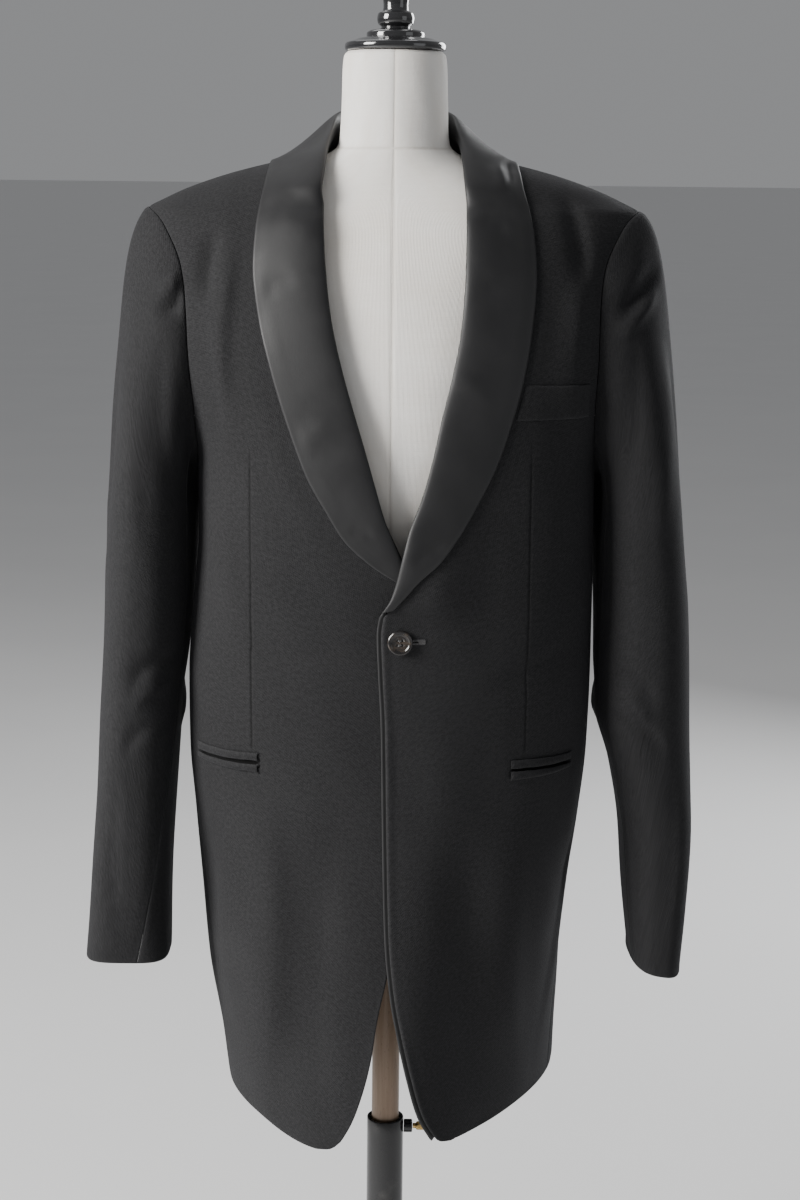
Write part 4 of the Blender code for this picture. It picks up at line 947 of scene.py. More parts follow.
def turned(name: str, profile: Sequence[Pair], place: Sequence[float], axis: str = "Z", steps: int = 128,
           fine: int = 3, smooth: bool = False, sink: Callable[[Array], Array] | None = None) -> bpy.types.Object:
    """Turns a profile of radius and height, from its top down its outer side, into a closed body.

    Args:
        name: The piece's name.
        profile: Radius and height pairs; a profile that starts and ends off the axis is a ring and closes on itself.
        place: Where the profile's own origin goes.
        axis: The way its height points, Z, X or -Y.
        steps: Points round it.
        fine: Points added between each two of the profile, closest by its corners.
        smooth: Whether a curve runs through the profile instead of straight lines.
        sink: How far each point, given as x, y and height, drops along the axis.

    Returns:
        The piece: each point is (r cos a, r sin a, h), then turned to its axis.
    """
    knots = np.array(profile)
    ring = knots[0, 0] > 0
    at = np.linspace(0, len(knots) - 1, (len(knots) - 1) * (fine + 1) + 1)
    bent = at + 0.16 * np.sin(2 * np.pi * at) * (-1 if fine else 0)
    line = np.stack([np.interp(bent, np.arange(len(knots)), knots[:, i]) for i in range(2)], axis=-1)
    if smooth:
        run = np.concatenate([[0.0], np.cumsum(np.linalg.norm(np.diff(knots, axis=0), axis=1))])
        even = np.interp(at, np.arange(len(knots)), run)
        line = np.stack([monotone(run, knots[:, i], even) for i in range(2)], axis=-1)
    body = line[:-1] if ring else line[1:-1]
    angle = np.linspace(0, 2 * math.pi, steps, endpoint=False)
    radius, height = body[:, :1], body[:, 1:]
    points = np.stack([radius * np.cos(angle), radius * np.sin(angle), height + 0 * angle], axis=-1).reshape(-1, 3)
    faces = grid_faces(len(body), steps, around=True)[:, ::-1]
    j, last = np.arange(steps), (len(body) - 1) * steps
    k = (j + 1) % steps
    if ring:
        more = np.stack([j, k, last + k, last + j], axis=-1).tolist()
    else:
        top, low = np.full(steps, len(points)), np.full(steps, len(points) + 1)
        points = np.concatenate([points, [[0, 0, line[0, 1]], [0, 0, line[-1, 1]]]])
        more = np.stack([top, j, k], axis=-1).tolist() + np.stack([low, last + k, last + j], axis=-1).tolist()
    if sink is not None:
        points[:, 2] -= sink(points)
    if axis == "X":
        points = points[:, [2, 1, 0]] * (1, 1, -1)
    if axis == "-Y":
        points = points[:, [0, 2, 1]] * (1, -1, 1)
    return make_mesh(name, points + np.array(place), faces, more)


def tube(name: str, path: Array, radius: Array | float, sides: int = 10) -> bpy.types.Object:
    """Carries a circle along a path, its ends closed, each ring square to the path's slope.

    Args:
        name: The piece's name.
        path: Points along its middle.
        radius: One radius, or one for each point.
        sides: Points round it.

    Returns:
        The piece.
    """
    slope = unit(np.gradient(path, axis=0))
    side = unit(np.cross(slope, (0.0, 1.0, 0.02)))
    up = np.cross(side, slope)
    angle = np.linspace(0, 2 * math.pi, sides, endpoint=False)
    reach = np.broadcast_to(np.asarray(radius, float), len(path))[:, None, None]
    rings = path[:, None] + reach * (side[:, None] * np.cos(angle)[:, None] + up[:, None] * np.sin(angle)[:, None])
    last = (len(path) - 1) * sides
    ends = [list(range(sides)), [last + j for j in range(sides)][::-1]]
    return make_mesh(name, rings, grid_faces(len(path), sides, around=True)[:, ::-1], ends)


def stitches(name: str, starts: Array, stops: Array, radius: float, up: tuple[float, float, float]) -> bpy.types.Object:
    """Short threads, each a six-sided spindle from a start to a stop that arches up out of the cloth.

    Args:
        name: The piece's name.
        starts: Where each thread starts.
        stops: Where each ends.
        radius: Half its thickness.
        up: Away from the cloth.

    Returns:
        The threads as one piece.
    """
    t = np.linspace(0, 1, 5)
    sides = 6
    run = stops - starts
    middle = starts[:, None] + run[:, None] * t[:, None] + np.array(up) * (np.sin(math.pi * t) * radius)[:, None]
    side = unit(np.cross(unit(run), up))
    rise = np.cross(side, unit(run))
    angle = np.linspace(0, 2 * math.pi, sides, endpoint=False)
    thick = radius * np.sqrt(np.clip(np.sin(math.pi * (0.08 + 0.84 * t)), 0, 1))[:, None, None]
    spin = side[:, None, None] * np.cos(angle)[:, None] + rise[:, None, None] * np.sin(angle)[:, None]
    points = middle[:, :, None] + thick * spin
    count = len(starts)
    one = grid_faces(len(t), sides, around=True)[:, ::-1]
    faces = (one[None] + np.arange(count)[:, None, None] * len(t) * sides).reshape(-1, 4)
    ends = np.stack([np.arange(sides), np.arange(sides)[::-1] + (len(t) - 1) * sides])
    more = (ends[None] + np.arange(count)[:, None, None] * len(t) * sides).reshape(-1, sides).tolist()
    return make_mesh(name, points, faces, more)


# ---------------------------------------------------------------- finishes
class Graph:
    """A material's node tree, with short calls for the few kinds of node that the finishes use."""

    def __init__(self, name: str, seen: Sequence[float], **sockets: float) -> None:
        """Makes the material and sets the shader's own sockets, named with _ for a space.

        Args:
            name: The material's name.
            seen: Its colour in plain views.
            **sockets: Values of the shader's sockets.
        """
        self.material = bpy.data.materials.new(name)
        self.material.use_nodes = True
        self.material.diffuse_color = (*seen, 1.0)
        self.tree = self.material.node_tree
        self.shader = self.tree.nodes["Principled BSDF"]
        self.shader.inputs["Base Color"].default_value = (*seen, 1.0)
        for key, value in sockets.items():
            self.shader.inputs[key.replace("_", " ")].default_value = value

    def node(self, kind: str, values: dict[str | int, object], out: int | str = 0, **settings: object) -> Socket:
        """Adds a node, sets or links its inputs, and gives back one of its outputs.

        Args:
            kind: The node's type.
            values: Each input's value or source, by name or number.
            out: The output wanted.
            **settings: The node's own settings.

        Returns:
            That output.
        """
        made = self.tree.nodes.new(kind)
        for key, value in settings.items():
            setattr(made, key, value)
        for key, value in values.items():
            if isinstance(value, bpy.types.NodeSocket):
                self.tree.links.new(value, made.inputs[key])
            else:
                made.inputs[key].default_value = value
        return made.outputs[out]

    def math(self, operation: str, *values: Socket | float) -> Socket:
        """A sum or other operation on one to three values."""
        return self.node("ShaderNodeMath", dict(enumerate(values)), operation=operation)

    def place(self, scale: Sequence[float] = (1, 1, 1), turn: float = 0.0, woven: bool = True) -> Socket:
        """Coordinates in metres, of the cloth itself or of the object, scaled and turned about Z.

        Args:
            scale: How much each axis is drawn out or pressed.
            turn: Radians about Z.
            woven: Whether it follows the cloth.

        Returns:
            The coordinates.
        """
        if woven:
            start = self.node("ShaderNodeUVMap", {}, uv_map="weave")
        else:
            start = self.node("ShaderNodeTexCoord", {}, "Object")
        return self.node("ShaderNodeMapping", {"Vector": start, "Scale": scale, "Rotation": (0, 0, turn)})

    def noise(self, at: Socket, scale: float, detail: float = 3.0, rough: float = 0.55) -> Socket:
        """Noise from 0 to 1 at a scale in repeats a metre."""
        return self.node("ShaderNodeTexNoise", {"Vector": at, "Scale": scale, "Detail": detail, "Roughness": rough})

    def bands(self, at: Socket, pitch: float, across: str = "X", bent: float = 0.0) -> Socket:
        """Threads as soft bands from 0 to 1.

        Args:
            at: Coordinates in metres.
            pitch: Distance from one band to the next.
            across: The axis that they follow one another along.
            bent: How far noise bends them.

        Returns:
            A sine of the place along the axis.
        """
        values = {"Vector": at, "Scale": BAND_PITCH / pitch, "Distortion": bent, "Detail": 2.0, "Detail Scale": 1.5}
        return self.node("ShaderNodeTexWave", values, "Fac", wave_type="BANDS", bands_direction=across)

    def total(self, *parts: tuple[Socket, float]) -> Socket:
        """Sum of values, each times its weight."""
        terms = [self.math("MULTIPLY", value, weight) if weight != 1.0 else value for value, weight in parts]
        return reduce(lambda so_far, term: self.math("ADD", so_far, term), terms)

    def share(self, name: str) -> Socket:
        """A number stored at each point."""
        return self.node("ShaderNodeAttribute", {}, "Fac", attribute_name=name)

    def blend(self, share: Socket | float, low: Socket | Sequence[float], high: Socket | Sequence[float]) -> Socket:
        """A colour between two, by a share from 0 to 1.

        Args:
            share: 0 for the low colour, 1 for the high.
            low: A colour or its source.
            high: The other.

        Returns:
            The mixed colour.
        """
        values = {0: share, 6: (*low, 1) if isinstance(low, tuple) else low,
                  7: (*high, 1) if isinstance(high, tuple) else high}
        return self.node("ShaderNodeMix", values, 2, data_type="RGBA")

    def between(self, at: Socket, low: float, high: float, to_low: float = 0.0, to_high: float = 1.0) -> Socket:
        """The value carried smoothly from one span to another, held at its ends."""
        values = {"Value": at, "From Min": low, "From Max": high, "To Min": to_low, "To Max": to_high}
        return self.node("ShaderNodeMapRange", values, interpolation_type="SMOOTHSTEP")

    def finish(self, colour: Socket | None, rough: Socket | None,
               height: Socket | None, distance: float = 0.0001) -> bpy.types.Material:
        """Links the colour, roughness and bump that vary over the piece.

        Args:
            colour: The base colour, if it varies.
            rough: The roughness.
            height: Height from 0 to 1 for the bump.
            distance: How deep a height of 1 is, in metres.

        Returns:
            The finished material.
        """
        if colour is not None:
            self.tree.links.new(colour, self.shader.inputs["Base Color"])
        if rough is not None:
            self.tree.links.new(rough, self.shader.inputs["Roughness"])
        if height is not None:
            bump = self.node("ShaderNodeBump", {"Height": height, "Strength": 1.0, "Distance": distance}, "Normal")
            self.tree.links.new(bump, self.shader.inputs["Normal"])
        return self.material


@dataclass(frozen=True)
class WoolFinish:
    """Fine black barathea: close slanting ribs, a soft nap and slow changes of tone, paler along worn edges."""

    name: str = "black_wool"
    dark: tuple[float, float, float] = (0.0035, 0.0035, 0.0040)
    pale: tuple[float, float, float] = (0.0330, 0.0330, 0.0345)
    rib_pitch: float = 0.0011
    nap: float = 820.0  # repeats a metre
    mottle: float = 300.0
    relief: float = 0.00034

    def material(self) -> bpy.types.Material:
        """Mixes ribs, nap and mottle into colour, roughness and bump.

        Returns:
            The finished material.
        """
        g = Graph(self.name, self.pale, Sheen_Weight=0.06, Sheen_Roughness=0.45, Specular_IOR_Level=0.13)
        g.shader.inputs["Sheen Tint"].default_value = (0.55, 0.55, 0.60, 1)
        ribs = g.bands(g.place(turn=math.radians(63)), self.rib_pitch * 2, "X", 0.6)
        picks = g.bands(g.place(turn=math.radians(-27)), self.rib_pitch * 1.3, "X", 1.2)
        nap = g.noise(g.place(), self.nap, 4.0, 0.72)
        mottle = g.noise(g.place(), self.mottle, 3.0, 0.65)
        slow = g.noise(g.place(), 9.0, 2.0, 0.5)
        weave = g.total((ribs, 0.6), (picks, 0.4))
        tone = g.total((g.between(nap, 0.32, 0.70), 0.44), (g.between(mottle, 0.34, 0.66), 0.24), (weave, 0.14),
                       (slow, 0.22), (g.share("edge"), 0.25))
        colour = g.blend(g.math("MINIMUM", tone, 1.0), self.dark, self.pale)
        # Painted shade: the seam share darkens the dart's groove, the jets' tacked dents and the pocket mouth nearly to
        # black.
        colour = g.blend(g.total((g.share("seam"), 0.85)), colour, (0.003, 0.003, 0.003))
        rough = g.between(nap, 0.3, 0.7, 0.74, 0.92)
        return g.finish(colour, rough, g.total((weave, 0.5), (nap, 0.9), (mottle, 0.8)), self.relief)


@dataclass(frozen=True)
class SatinFinish:
    """Black satin: long floats lie one way, so it is smooth and softly bright, with faint slubs and bruises."""

    name: str = "black_satin"
    dark: tuple[float, float, float] = (0.0080, 0.0080, 0.0088)
    pale: tuple[float, float, float] = (0.0170, 0.0170, 0.0180)
    low_rough: float = 0.46
    high_rough: float = 0.58
    pitch: float = 0.0008
    relief: float = 0.00010

    def material(self) -> bpy.types.Material:
        """Mixes thread lines, slubs and cloudy wear into colour, roughness and bump.

        Returns:
            The finished material.
        """
        g = Graph(self.name, self.pale, Specular_IOR_Level=0.40, Sheen_Weight=0.05, Sheen_Roughness=0.3)
        g.shader.inputs["Sheen Tint"].default_value = (0.6, 0.6, 0.64, 1)
        threads = g.bands(g.place(turn=math.radians(8)), self.pitch, "X", 0.9)
        floats = g.noise(g.place(scale=(14.0, 1.0, 1.0)), 120.0, 3.0, 0.6)
        slubs = g.noise(g.place(scale=(1.0, 22.0, 1.0), turn=math.radians(4)), 55.0, 2.0, 0.5)
        cloud = g.noise(g.place(), 22.0, 3.0, 0.5)
        tone = g.total((floats, 0.35), (cloud, 0.5), (g.share("edge"), 0.3))
        colour = g.blend(g.between(tone, 0.2, 0.9), self.dark, self.pale)
        # Painted shade: the seam share darkens the facing where it tucks under the cloth's edge nearly to black.
        colour = g.blend(g.share("seam"), colour, (0.002, 0.002, 0.002))
        rough = g.total((g.between(cloud, 0.3, 0.7, self.low_rough, self.high_rough), 1.0),
                        (g.math("SUBTRACT", slubs, 0.5), 0.08))
        return g.finish(colour, rough, g.total((threads, 0.30), (floats, 0.45), (slubs, 0.25)), self.relief)


@dataclass(frozen=True)
class LiningFinish:
    """The black lining inside the body and sleeves: a thin plain weave with a low lustre."""

    name: str = "black_lining"
    tone: tuple[float, float, float] = (0.012, 0.012, 0.013)
    pitch: float = 0.0007

    def material(self) -> bpy.types.Material:
        """Fine crossed bands under cloudy roughness.

        Returns:
            The finished material.
        """
        g = Graph(self.name, self.tone, Specular_IOR_Level=0.5)
        warp, weft = (g.bands(g.place(), self.pitch, way, 0.5) for way in "XY")
        cloud = g.noise(g.place(), 30.0, 3.0, 0.5)
        colour = g.blend(cloud, (0.008, 0.008, 0.009), (0.020, 0.020, 0.022))
        colour = g.blend(g.share("turnup"), colour, (0.026, 0.026, 0.028))
        rough = g.total((g.between(cloud, 0.3, 0.7, 0.42, 0.56), 1.0), (g.share("turnup"), 0.35))
        return g.finish(colour, rough, g.math("ADD", warp, weft), 0.00004)


@dataclass(frozen=True)
class LinenFinish:
    """Ivory linen over padding: plain weave with thick and thin threads, warmer where it has been handled."""

    name: str = "ivory_linen"
    clean: tuple[float, float, float] = (0.900, 0.882, 0.850)
    aged: tuple[float, float, float] = (0.760, 0.700, 0.620)
    pitch: float = 0.0010
    relief: float = 0.00018

    def material(self) -> bpy.types.Material:
        """Crosses two sets of uneven threads, with slubs, a slow warm stain and darkened seams.

        Returns:
            The finished material.
        """
        g = Graph(self.name, self.clean, Specular_IOR_Level=0.25, Sheen_Weight=0.15, Sheen_Roughness=0.5)
        warp, weft = (g.bands(g.place(), self.pitch, way, 0.8) for way in "XY")
        slub_a = g.noise(g.place(scale=(1.0, 0.03, 1.0)), 900.0, 2.0)
        slub_b = g.noise(g.place(scale=(0.03, 1.0, 1.0)), 900.0, 2.0)
        stain = g.noise(g.place(), 7.0, 4.0, 0.6)
        fine = g.noise(g.place(), 420.0, 3.0, 0.6)
        threads = g.math("ADD", g.math("MULTIPLY", warp, slub_a), g.math("MULTIPLY", weft, slub_b))
        tone = g.total((g.between(stain, 0.35, 0.75), 0.55), (fine, 0.25), (threads, -0.12))
        colour = g.blend(g.math("MAXIMUM", tone, 0.0), self.clean, self.aged)
        colour = g.blend(g.total((g.share("seam"), 0.30)), colour, (0.42, 0.36, 0.29))
        rough = g.between(fine, 0.3, 0.7, 0.80, 0.95)
        return g.finish(colour, rough, g.total((threads, 1.0), (fine, 0.4)), self.relief)


@dataclass(frozen=True)
class ThreadFinish:
    """Twisted silk thread, a little brighter than the cloth it is sewn into."""

    name: str
    tone: tuple[float, float, float]
    ply_pitch: float = 0.0006

    def material(self) -> bpy.types.Material:
        """Slanting ply lines over a two-tone noise.

        Returns:
            The finished material.
        """
        g = Graph(self.name, self.tone, Roughness=0.5, Specular_IOR_Level=0.5, Sheen_Weight=0.3)
        ply = g.bands(g.place(woven=False, turn=0.7), self.ply_pitch, "DIAGONAL", 0.4)
        pale = tuple(min(1.0, 1.7 * c) for c in self.tone)
        colour = g.blend(g.noise(g.place(woven=False), 2200.0, 2.0), self.tone, pale)
        return g.finish(colour, g.between(ply, 0.0, 1.0, 0.42, 0.6), ply, 0.0001)


@dataclass(frozen=True)
class HornFinish:
    """Polished dark horn with smoky streaks and fine scratches."""

    name: str = "dark_horn"

    def material(self) -> bpy.types.Material:
        """Stretched noise for the streaks, fine noise for the polish.

        Returns:
            The finished material.
        """
        g = Graph(self.name, (0.03, 0.022, 0.018), Coat_Weight=0.25, Coat_Roughness=0.15, Specular_IOR_Level=0.5)
        streak = g.noise(g.place((0.35, 1.0, 1.0), 0.5, woven=False), 260.0, 4.0, 0.6)
        fine = g.noise(g.place(woven=False), 1800.0, 2.0)
        colour = g.blend(g.between(streak, 0.42, 0.72), (0.008, 0.007, 0.007), (0.040, 0.030, 0.022))
        return g.finish(colour, g.between(fine, 0.3, 0.7, 0.16, 0.30), fine, 0.00002)


@dataclass(frozen=True)
class LacquerFinish:
    """Black gloss lacquer over turned wood: deep, faintly uneven, with a little dust."""

    name: str = "black_lacquer"

    def material(self) -> bpy.types.Material:
        """Slow ripple under a clear coat, with dust specks in the roughness.

        Returns:
            The finished material.
        """
        g = Graph(self.name, (0.012, 0.012, 0.012), Coat_Weight=1.0, Coat_Roughness=0.04, Specular_IOR_Level=0.7)
        ripple_ = g.noise(g.place(woven=False), 45.0, 2.0)
        dust = g.noise(g.place(woven=False), 1400.0, 4.0, 0.7)
        colour = g.blend(g.between(dust, 0.60, 0.78, 0.0, 0.6), (0.010, 0.010, 0.011), (0.075, 0.070, 0.062))
        return g.finish(colour, g.between(dust, 0.5, 0.8, 0.10, 0.42), ripple_, 0.0004)


@dataclass(frozen=True)
class BeechFinish:
    """Waxed beech turned to a pole: straight grain along it, short dark flecks and a warm wax; all its tones are
    darkened to about six tenths, painted shade for the jacket's shadow over the pole.
    """

    name: str = "waxed_beech"

    def material(self) -> bpy.types.Material:
        """Noise drawn out along the pole for grain, finer noise for pores and flecks.

        Returns:
            The finished material.
        """
        # Painted shade: these tones are beech darkened to about six tenths, standing in for the jacket's shadow over
        # the pole.
        g = Graph(self.name, (0.25, 0.17, 0.11), Coat_Weight=0.15, Coat_Roughness=0.3)
        grain = g.noise(g.place((1.0, 1.0, 0.045), woven=False), 210.0, 4.0, 0.6)
        flecks = g.noise(g.place((1.0, 1.0, 0.12), woven=False), 1300.0, 2.0, 0.5)
        slow = g.noise(g.place((1.0, 1.0, 0.3), woven=False), 14.0, 2.0)
        tone = g.total((g.between(grain, 0.3, 0.7), 0.6), (slow, 0.4))
        colour = g.blend(tone, (0.300, 0.205, 0.135), (0.200, 0.130, 0.080))
        colour = g.blend(g.between(flecks, 0.62, 0.74, 0.0, 0.7), colour, (0.110, 0.062, 0.036))
        return g.finish(colour, g.between(grain, 0.3, 0.7, 0.42, 0.58), g.math("ADD", grain, flecks), 0.00012)


@dataclass(frozen=True)
class MetalFinish:
    """Painted or bare metal with a fine surface: orange peel, brushing or casting grain."""

    name: str
    tone: tuple[float, float, float]
    worn: tuple[float, float, float]
    metallic: float
    rough: Pair
    grain: float  # repeats a metre
    drawn: tuple[float, float, float] = (1.0, 1.0, 1.0)
    deep: float = 0.00005

    def material(self) -> bpy.types.Material:
        """Grain in roughness and bump, with patches worn paler.

        Returns:
            The finished material.
        """
        g = Graph(self.name, self.tone, Metallic=self.metallic)
        grain = g.noise(g.place(self.drawn, woven=False), self.grain, 4.0, 0.6)
        patch = g.noise(g.place(woven=False), 28.0, 4.0, 0.6)
        colour = g.blend(g.between(patch, 0.52, 0.76, 0.0, 0.5), self.tone, self.worn)
        colour = g.blend(g.between(grain, 0.55, 0.8, 0.0, 0.25), colour, self.worn)
        rough = g.total((g.between(grain, 0.3, 0.7, *self.rough), 1.0), (g.math("SUBTRACT", patch, 0.5), 0.12))
        return g.finish(colour, rough, grain, self.deep)


@dataclass(frozen=True)
class FlatFinish:
    """Painted shade inside a slit: a dark, fibrous and matt sheet."""

    name: str
    tone: tuple[float, float, float]

    def material(self) -> bpy.types.Material:
        """Fibre noise in colour, roughness and bump.

        Returns:
            The finished material.
        """
        g = Graph(self.name, self.tone, Specular_IOR_Level=0.1)
        fibre = g.noise(g.place((1.0, 4.0, 0.4), woven=False), 2500.0, 3.0)
        colour = g.blend(fibre, self.tone, tuple(3 * c for c in self.tone))
        return g.finish(colour, g.between(fibre, 0.3, 0.7, 0.8, 0.95), fibre, 0.0001)


@dataclass(frozen=True)
class FloorFinish:
    """A plain pale studio floor with the faintest unevenness."""

    name: str = "pale_floor"

    def material(self) -> bpy.types.Material:
        """Two close greys by slow noise, matt.

        Returns:
            The finished material.
        """
        g = Graph(self.name, (0.70, 0.70, 0.70), Specular_IOR_Level=0.1)
        slow = g.noise(g.place(woven=False), 1.6, 4.0)
        return g.finish(g.blend(slow, (0.70, 0.70, 0.705), (0.75, 0.75, 0.75)), g.between(slow, 0.3, 0.7, 0.85, 0.95),
                        None)


# ---------------------------------------------------------------- pieces of the jacket
class Looks:
    """Every finish of the model, made once."""

    def __init__(self) -> None:
        """Makes the materials."""
        self.wool = WoolFinish().material()
        self.satin = SatinFinish().material()
        self.lining = LiningFinish().material()
        self.linen = LinenFinish().material()
        self.thread = ThreadFinish("black_silk", (0.016, 0.016, 0.018)).material()
        self.twist = ThreadFinish("grey_twist", (0.030, 0.029, 0.030)).material()
        # Painted shade: a near-black finish for the buttonhole's slit.
        self.dark = FlatFinish("slit_shadow", (0.003, 0.003, 0.003)).material()
        self.horn = HornFinish().material()
        self.lacquer = LacquerFinish().material()
        self.beech = BeechFinish().material()
        self.enamel = MetalFinish(
            "black_enamel", (0.012, 0.012, 0.013), (0.060, 0.058, 0.055), 0.0, (0.16, 0.26), 700.0).material()
        self.iron = MetalFinish(
            "black_iron", (0.030, 0.030, 0.032), (0.085, 0.078, 0.070), 0.7, (0.50, 0.66), 420.0,
            deep=0.00025).material()
        self.brass = MetalFinish(
            "brass", (0.620, 0.430, 0.170), (0.340, 0.210, 0.090), 1.0, (0.22, 0.38), 900.0,
            (1.0, 0.15, 1.0)).material()


@dataclass
class Panels:
    """The front, side and back of one half of the body, which share one surface."""

    looks: Looks
    shape: BodyShape
    left: bool
    front_top: float = 1.4450
    back_top: float = 1.4405
    dart_x: float = 0.124
    dart_low: float = 0.912
    dart_high: float = 1.207
    ridge_gap: float = 0.0001
    corner_gap: float = 0.0001
    hem_turnup: float = 0.040
    pocket_mouth: float = 0.0032

    def __post_init__(self) -> None:
        """Works out the sign of this half and where its pocket lies."""
        self.sign = 1 if self.left else -1
        self.side = "left" if self.left else "right"
        self.pocket = (0.1110, 0.1690, 0.8980) if self.left else (0.1180, 0.1760, 0.9020)
        self.seed = 1.3 if self.left else 4.9

    def placed(self, turn: Array, z: Array, over: bool = False) -> Array:
        """Points of the panel's outer side at a turn from centre front, with the hem's dip and the overlap.

        Args:
            turn: Unsigned turn from centre front, in radians.
            z: Height.
            over: Whether the buttoned front's overlap is added.

        Returns:
            Points, x, y and z last.
        """
        high = z + self.shape.hem_drop(np.abs(turn), z, self.left)
        tau = turn * self.sign
        lift = self.shape.overlap_lift(self.shape.face(tau, high)[..., 0], high) if over else 0.0
        return self.shape.lifted(tau, high, lift)

    def rows(self, top: float, extra: Sequence[float] = ()) -> Array:
        """Heights of a panel's rows, closer at the shoulder point and at each extra place.

        Args:
            top: The panel's highest place.
            extra: Further heights with close rows.

        Returns:
            Rising heights, as a column.
        """
        tall = top - HEM_Z
        near = [(place - HEM_Z) / tall for place in (SHOULDER_Z, *extra)]
        steps = [step / tall for step in (0.0005, 0.0011, 0.0018, 0.0026, 0.0036, 0.0050, 0.0066)]
        return HEM_Z + tall * close_at(228, near, steps)[:, None]

    def front_folds(self) -> list[Fold]:
        """The front's main creases: pulls by the armhole, a ridge down the chest and flutes in the skirt.

        Returns:
            Folds seen from the front.
        """
        if self.left:
            return drawn(View.FRONT,
                (0.154, 1.412, 0.168, 1.335, 0.0085, -0.0051, 0.06),
                (0.171, 1.352, 0.16, 1.205, 0.012, 0.0037, -0.05), (0.146, 1.33, 0.15, 1.18, 0.015, -0.0027, 0.04),
                (0.15, 1.15, 0.128, 1.01, 0.014, 0.002, 0.03), (0.092, 0.985, 0.165, 1.015, 0.01, -0.0019, -0.08),
                (0.06, 0.865, 0.07, 0.56, 0.026, -0.0044, 0.04), (0.118, 0.85, 0.128, 0.545, 0.022, 0.0048, -0.03),
                (0.16, 0.87, 0.17, 0.56, 0.018, -0.0037, 0.03))
        return drawn(View.FRONT,
            (-0.155, 1.378, -0.164, 1.318, 0.008, -0.0058, -0.06),
            (-0.1376, 1.366, -0.1465, 1.216, 0.011, 0.0041, -0.05),
            (-0.168, 1.3, -0.158, 1.18, 0.012, -0.0034, 0.04), (-0.15, 1.15, -0.132, 1.0, 0.015, 0.002, -0.03),
            (-0.05, 1.005, -0.15, 1.03, 0.009, -0.0017, 0.1), (-0.05, 0.85, -0.062, 0.56, 0.024, -0.0037, -0.04),
            (-0.112, 0.87, -0.12, 0.545, 0.02, 0.0051, 0.03), (-0.162, 0.85, -0.172, 0.57, 0.018, -0.0041, -0.03))

    def under_lapel(self, points: Array) -> Array:
        """0 beneath the lapel, where the cloth stays flat, rising to 1 clear of its outer edge.

        Args:
            points: Points, x, y and z last.

        Returns:
            Share of the folds that each point takes.
        """
        stations = LAPEL_LEFT if self.left else LAPEL_RIGHT
        x_edge = np.interp(points[..., 2], [s.edge[1] for s in stations], [s.edge[0] for s in stations])
        clear = ease(0.004, 0.026, points[..., 0] * self.sign - x_edge)
        return np.where(points[..., 2] < stations[0].edge[1], 1.0, clear)

    def front(self) -> bpy.types.Object:
        """The front with its dart and pocket mouth; the left one's inner edge is a rounded, pressed fold.

        Returns:
            The finished piece.
        """
        near, far, mouth = self.pocket
        z = self.rows(self.front_top, (mouth,))
        edge = Table(EDGE_LEFT if self.left else EDGE_RIGHT)
        start = self.shape.tau_at_x(edge("x", z), z) * self.sign
        below = ease(1.052, 1.040, z) if self.left else np.zeros_like(z)
        start = start + self.shape.gap(start, z, 0.0010) * below
        rim = self.shape.rim(z, self.left, forward=True)
        rim = rim - self.shape.gap(rim, z, np.where(z > self.shape.armhole_mid_z, self.ridge_gap, SEAM_GAP) / 2)
        dart = self.shape.tau_at_x(self.sign * self.dart_x + 0 * z, z) * self.sign
        middle = np.minimum(dart, start + 0.72 * (rim - start))
        share = close_at(86, (0.5,), (0.0013, 0.0029, 0.0050, 0.0080, 0.0120))[None, :]
        turn = np.where(share < 0.5, start + (middle - start) * 2 * share, middle + (rim - middle) * (2 * share - 1))
        points = self.placed(turn, z + 0 * turn, over=self.left)
        x, high = points[..., 0] * self.sign, points[..., 2]
        off = x - self.dart_x
        sewn = ease(self.dart_low, self.dart_low + 0.008, high) * ease(self.dart_high, self.dart_high - 0.05, high)
        relief = sewn * (0.0003 * np.exp(-((off / 0.0055) ** 2)) - 0.0007 * np.exp(-((off / 0.0011) ** 2)))
        slot_x = ease(near + 0.0005, near + 0.0025, x) * ease(far - 0.0005, far - 0.0025, x)
        slot_z = ease(mouth - 0.0050, mouth - 0.0028, high) * ease(mouth + 0.0052, mouth + 0.0030, high)
        relief = relief - self.pocket_mouth * slot_x * slot_z
        from_edge = walked(points, 1)
        rolled = np.exp(-(((from_edge - 0.0032) / 0.0024) ** 2)) - 0.5 * np.exp(-(((from_edge - 0.0085) / 0.003) ** 2))
        relief = relief + below * 0.0005 * rolled
        button = np.exp(-(((points[..., 0] - BUTTON_X) ** 2 + (high - BUTTON_Z) ** 2) / 0.030**2))
        steady = self.under_lapel(points) * (1 - button)
        # Painted shade: this share marks the dart's groove and the pocket mouth, which the wool finish darkens nearly
        # to black.
        seam = 0.5 * sewn * np.exp(-((off / 0.0010) ** 2)) + slot_x * slot_z
        inner = np.maximum(ease(self.hem_turnup, self.hem_turnup - 0.001, high - HEM_Z),
                           ease(0.070, 0.069, from_edge) * (high < 1.08))
        sheet = Sheet(f"front_{self.side}", points, WOOL, folds=self.front_folds(), swell=0.0011, seed=self.seed,
                      steady=steady, relief=relief, seam=seam, turnup=inner, edge_round=0.0017)
        return sheet.build([self.looks.wool, self.looks.lining], "wool")

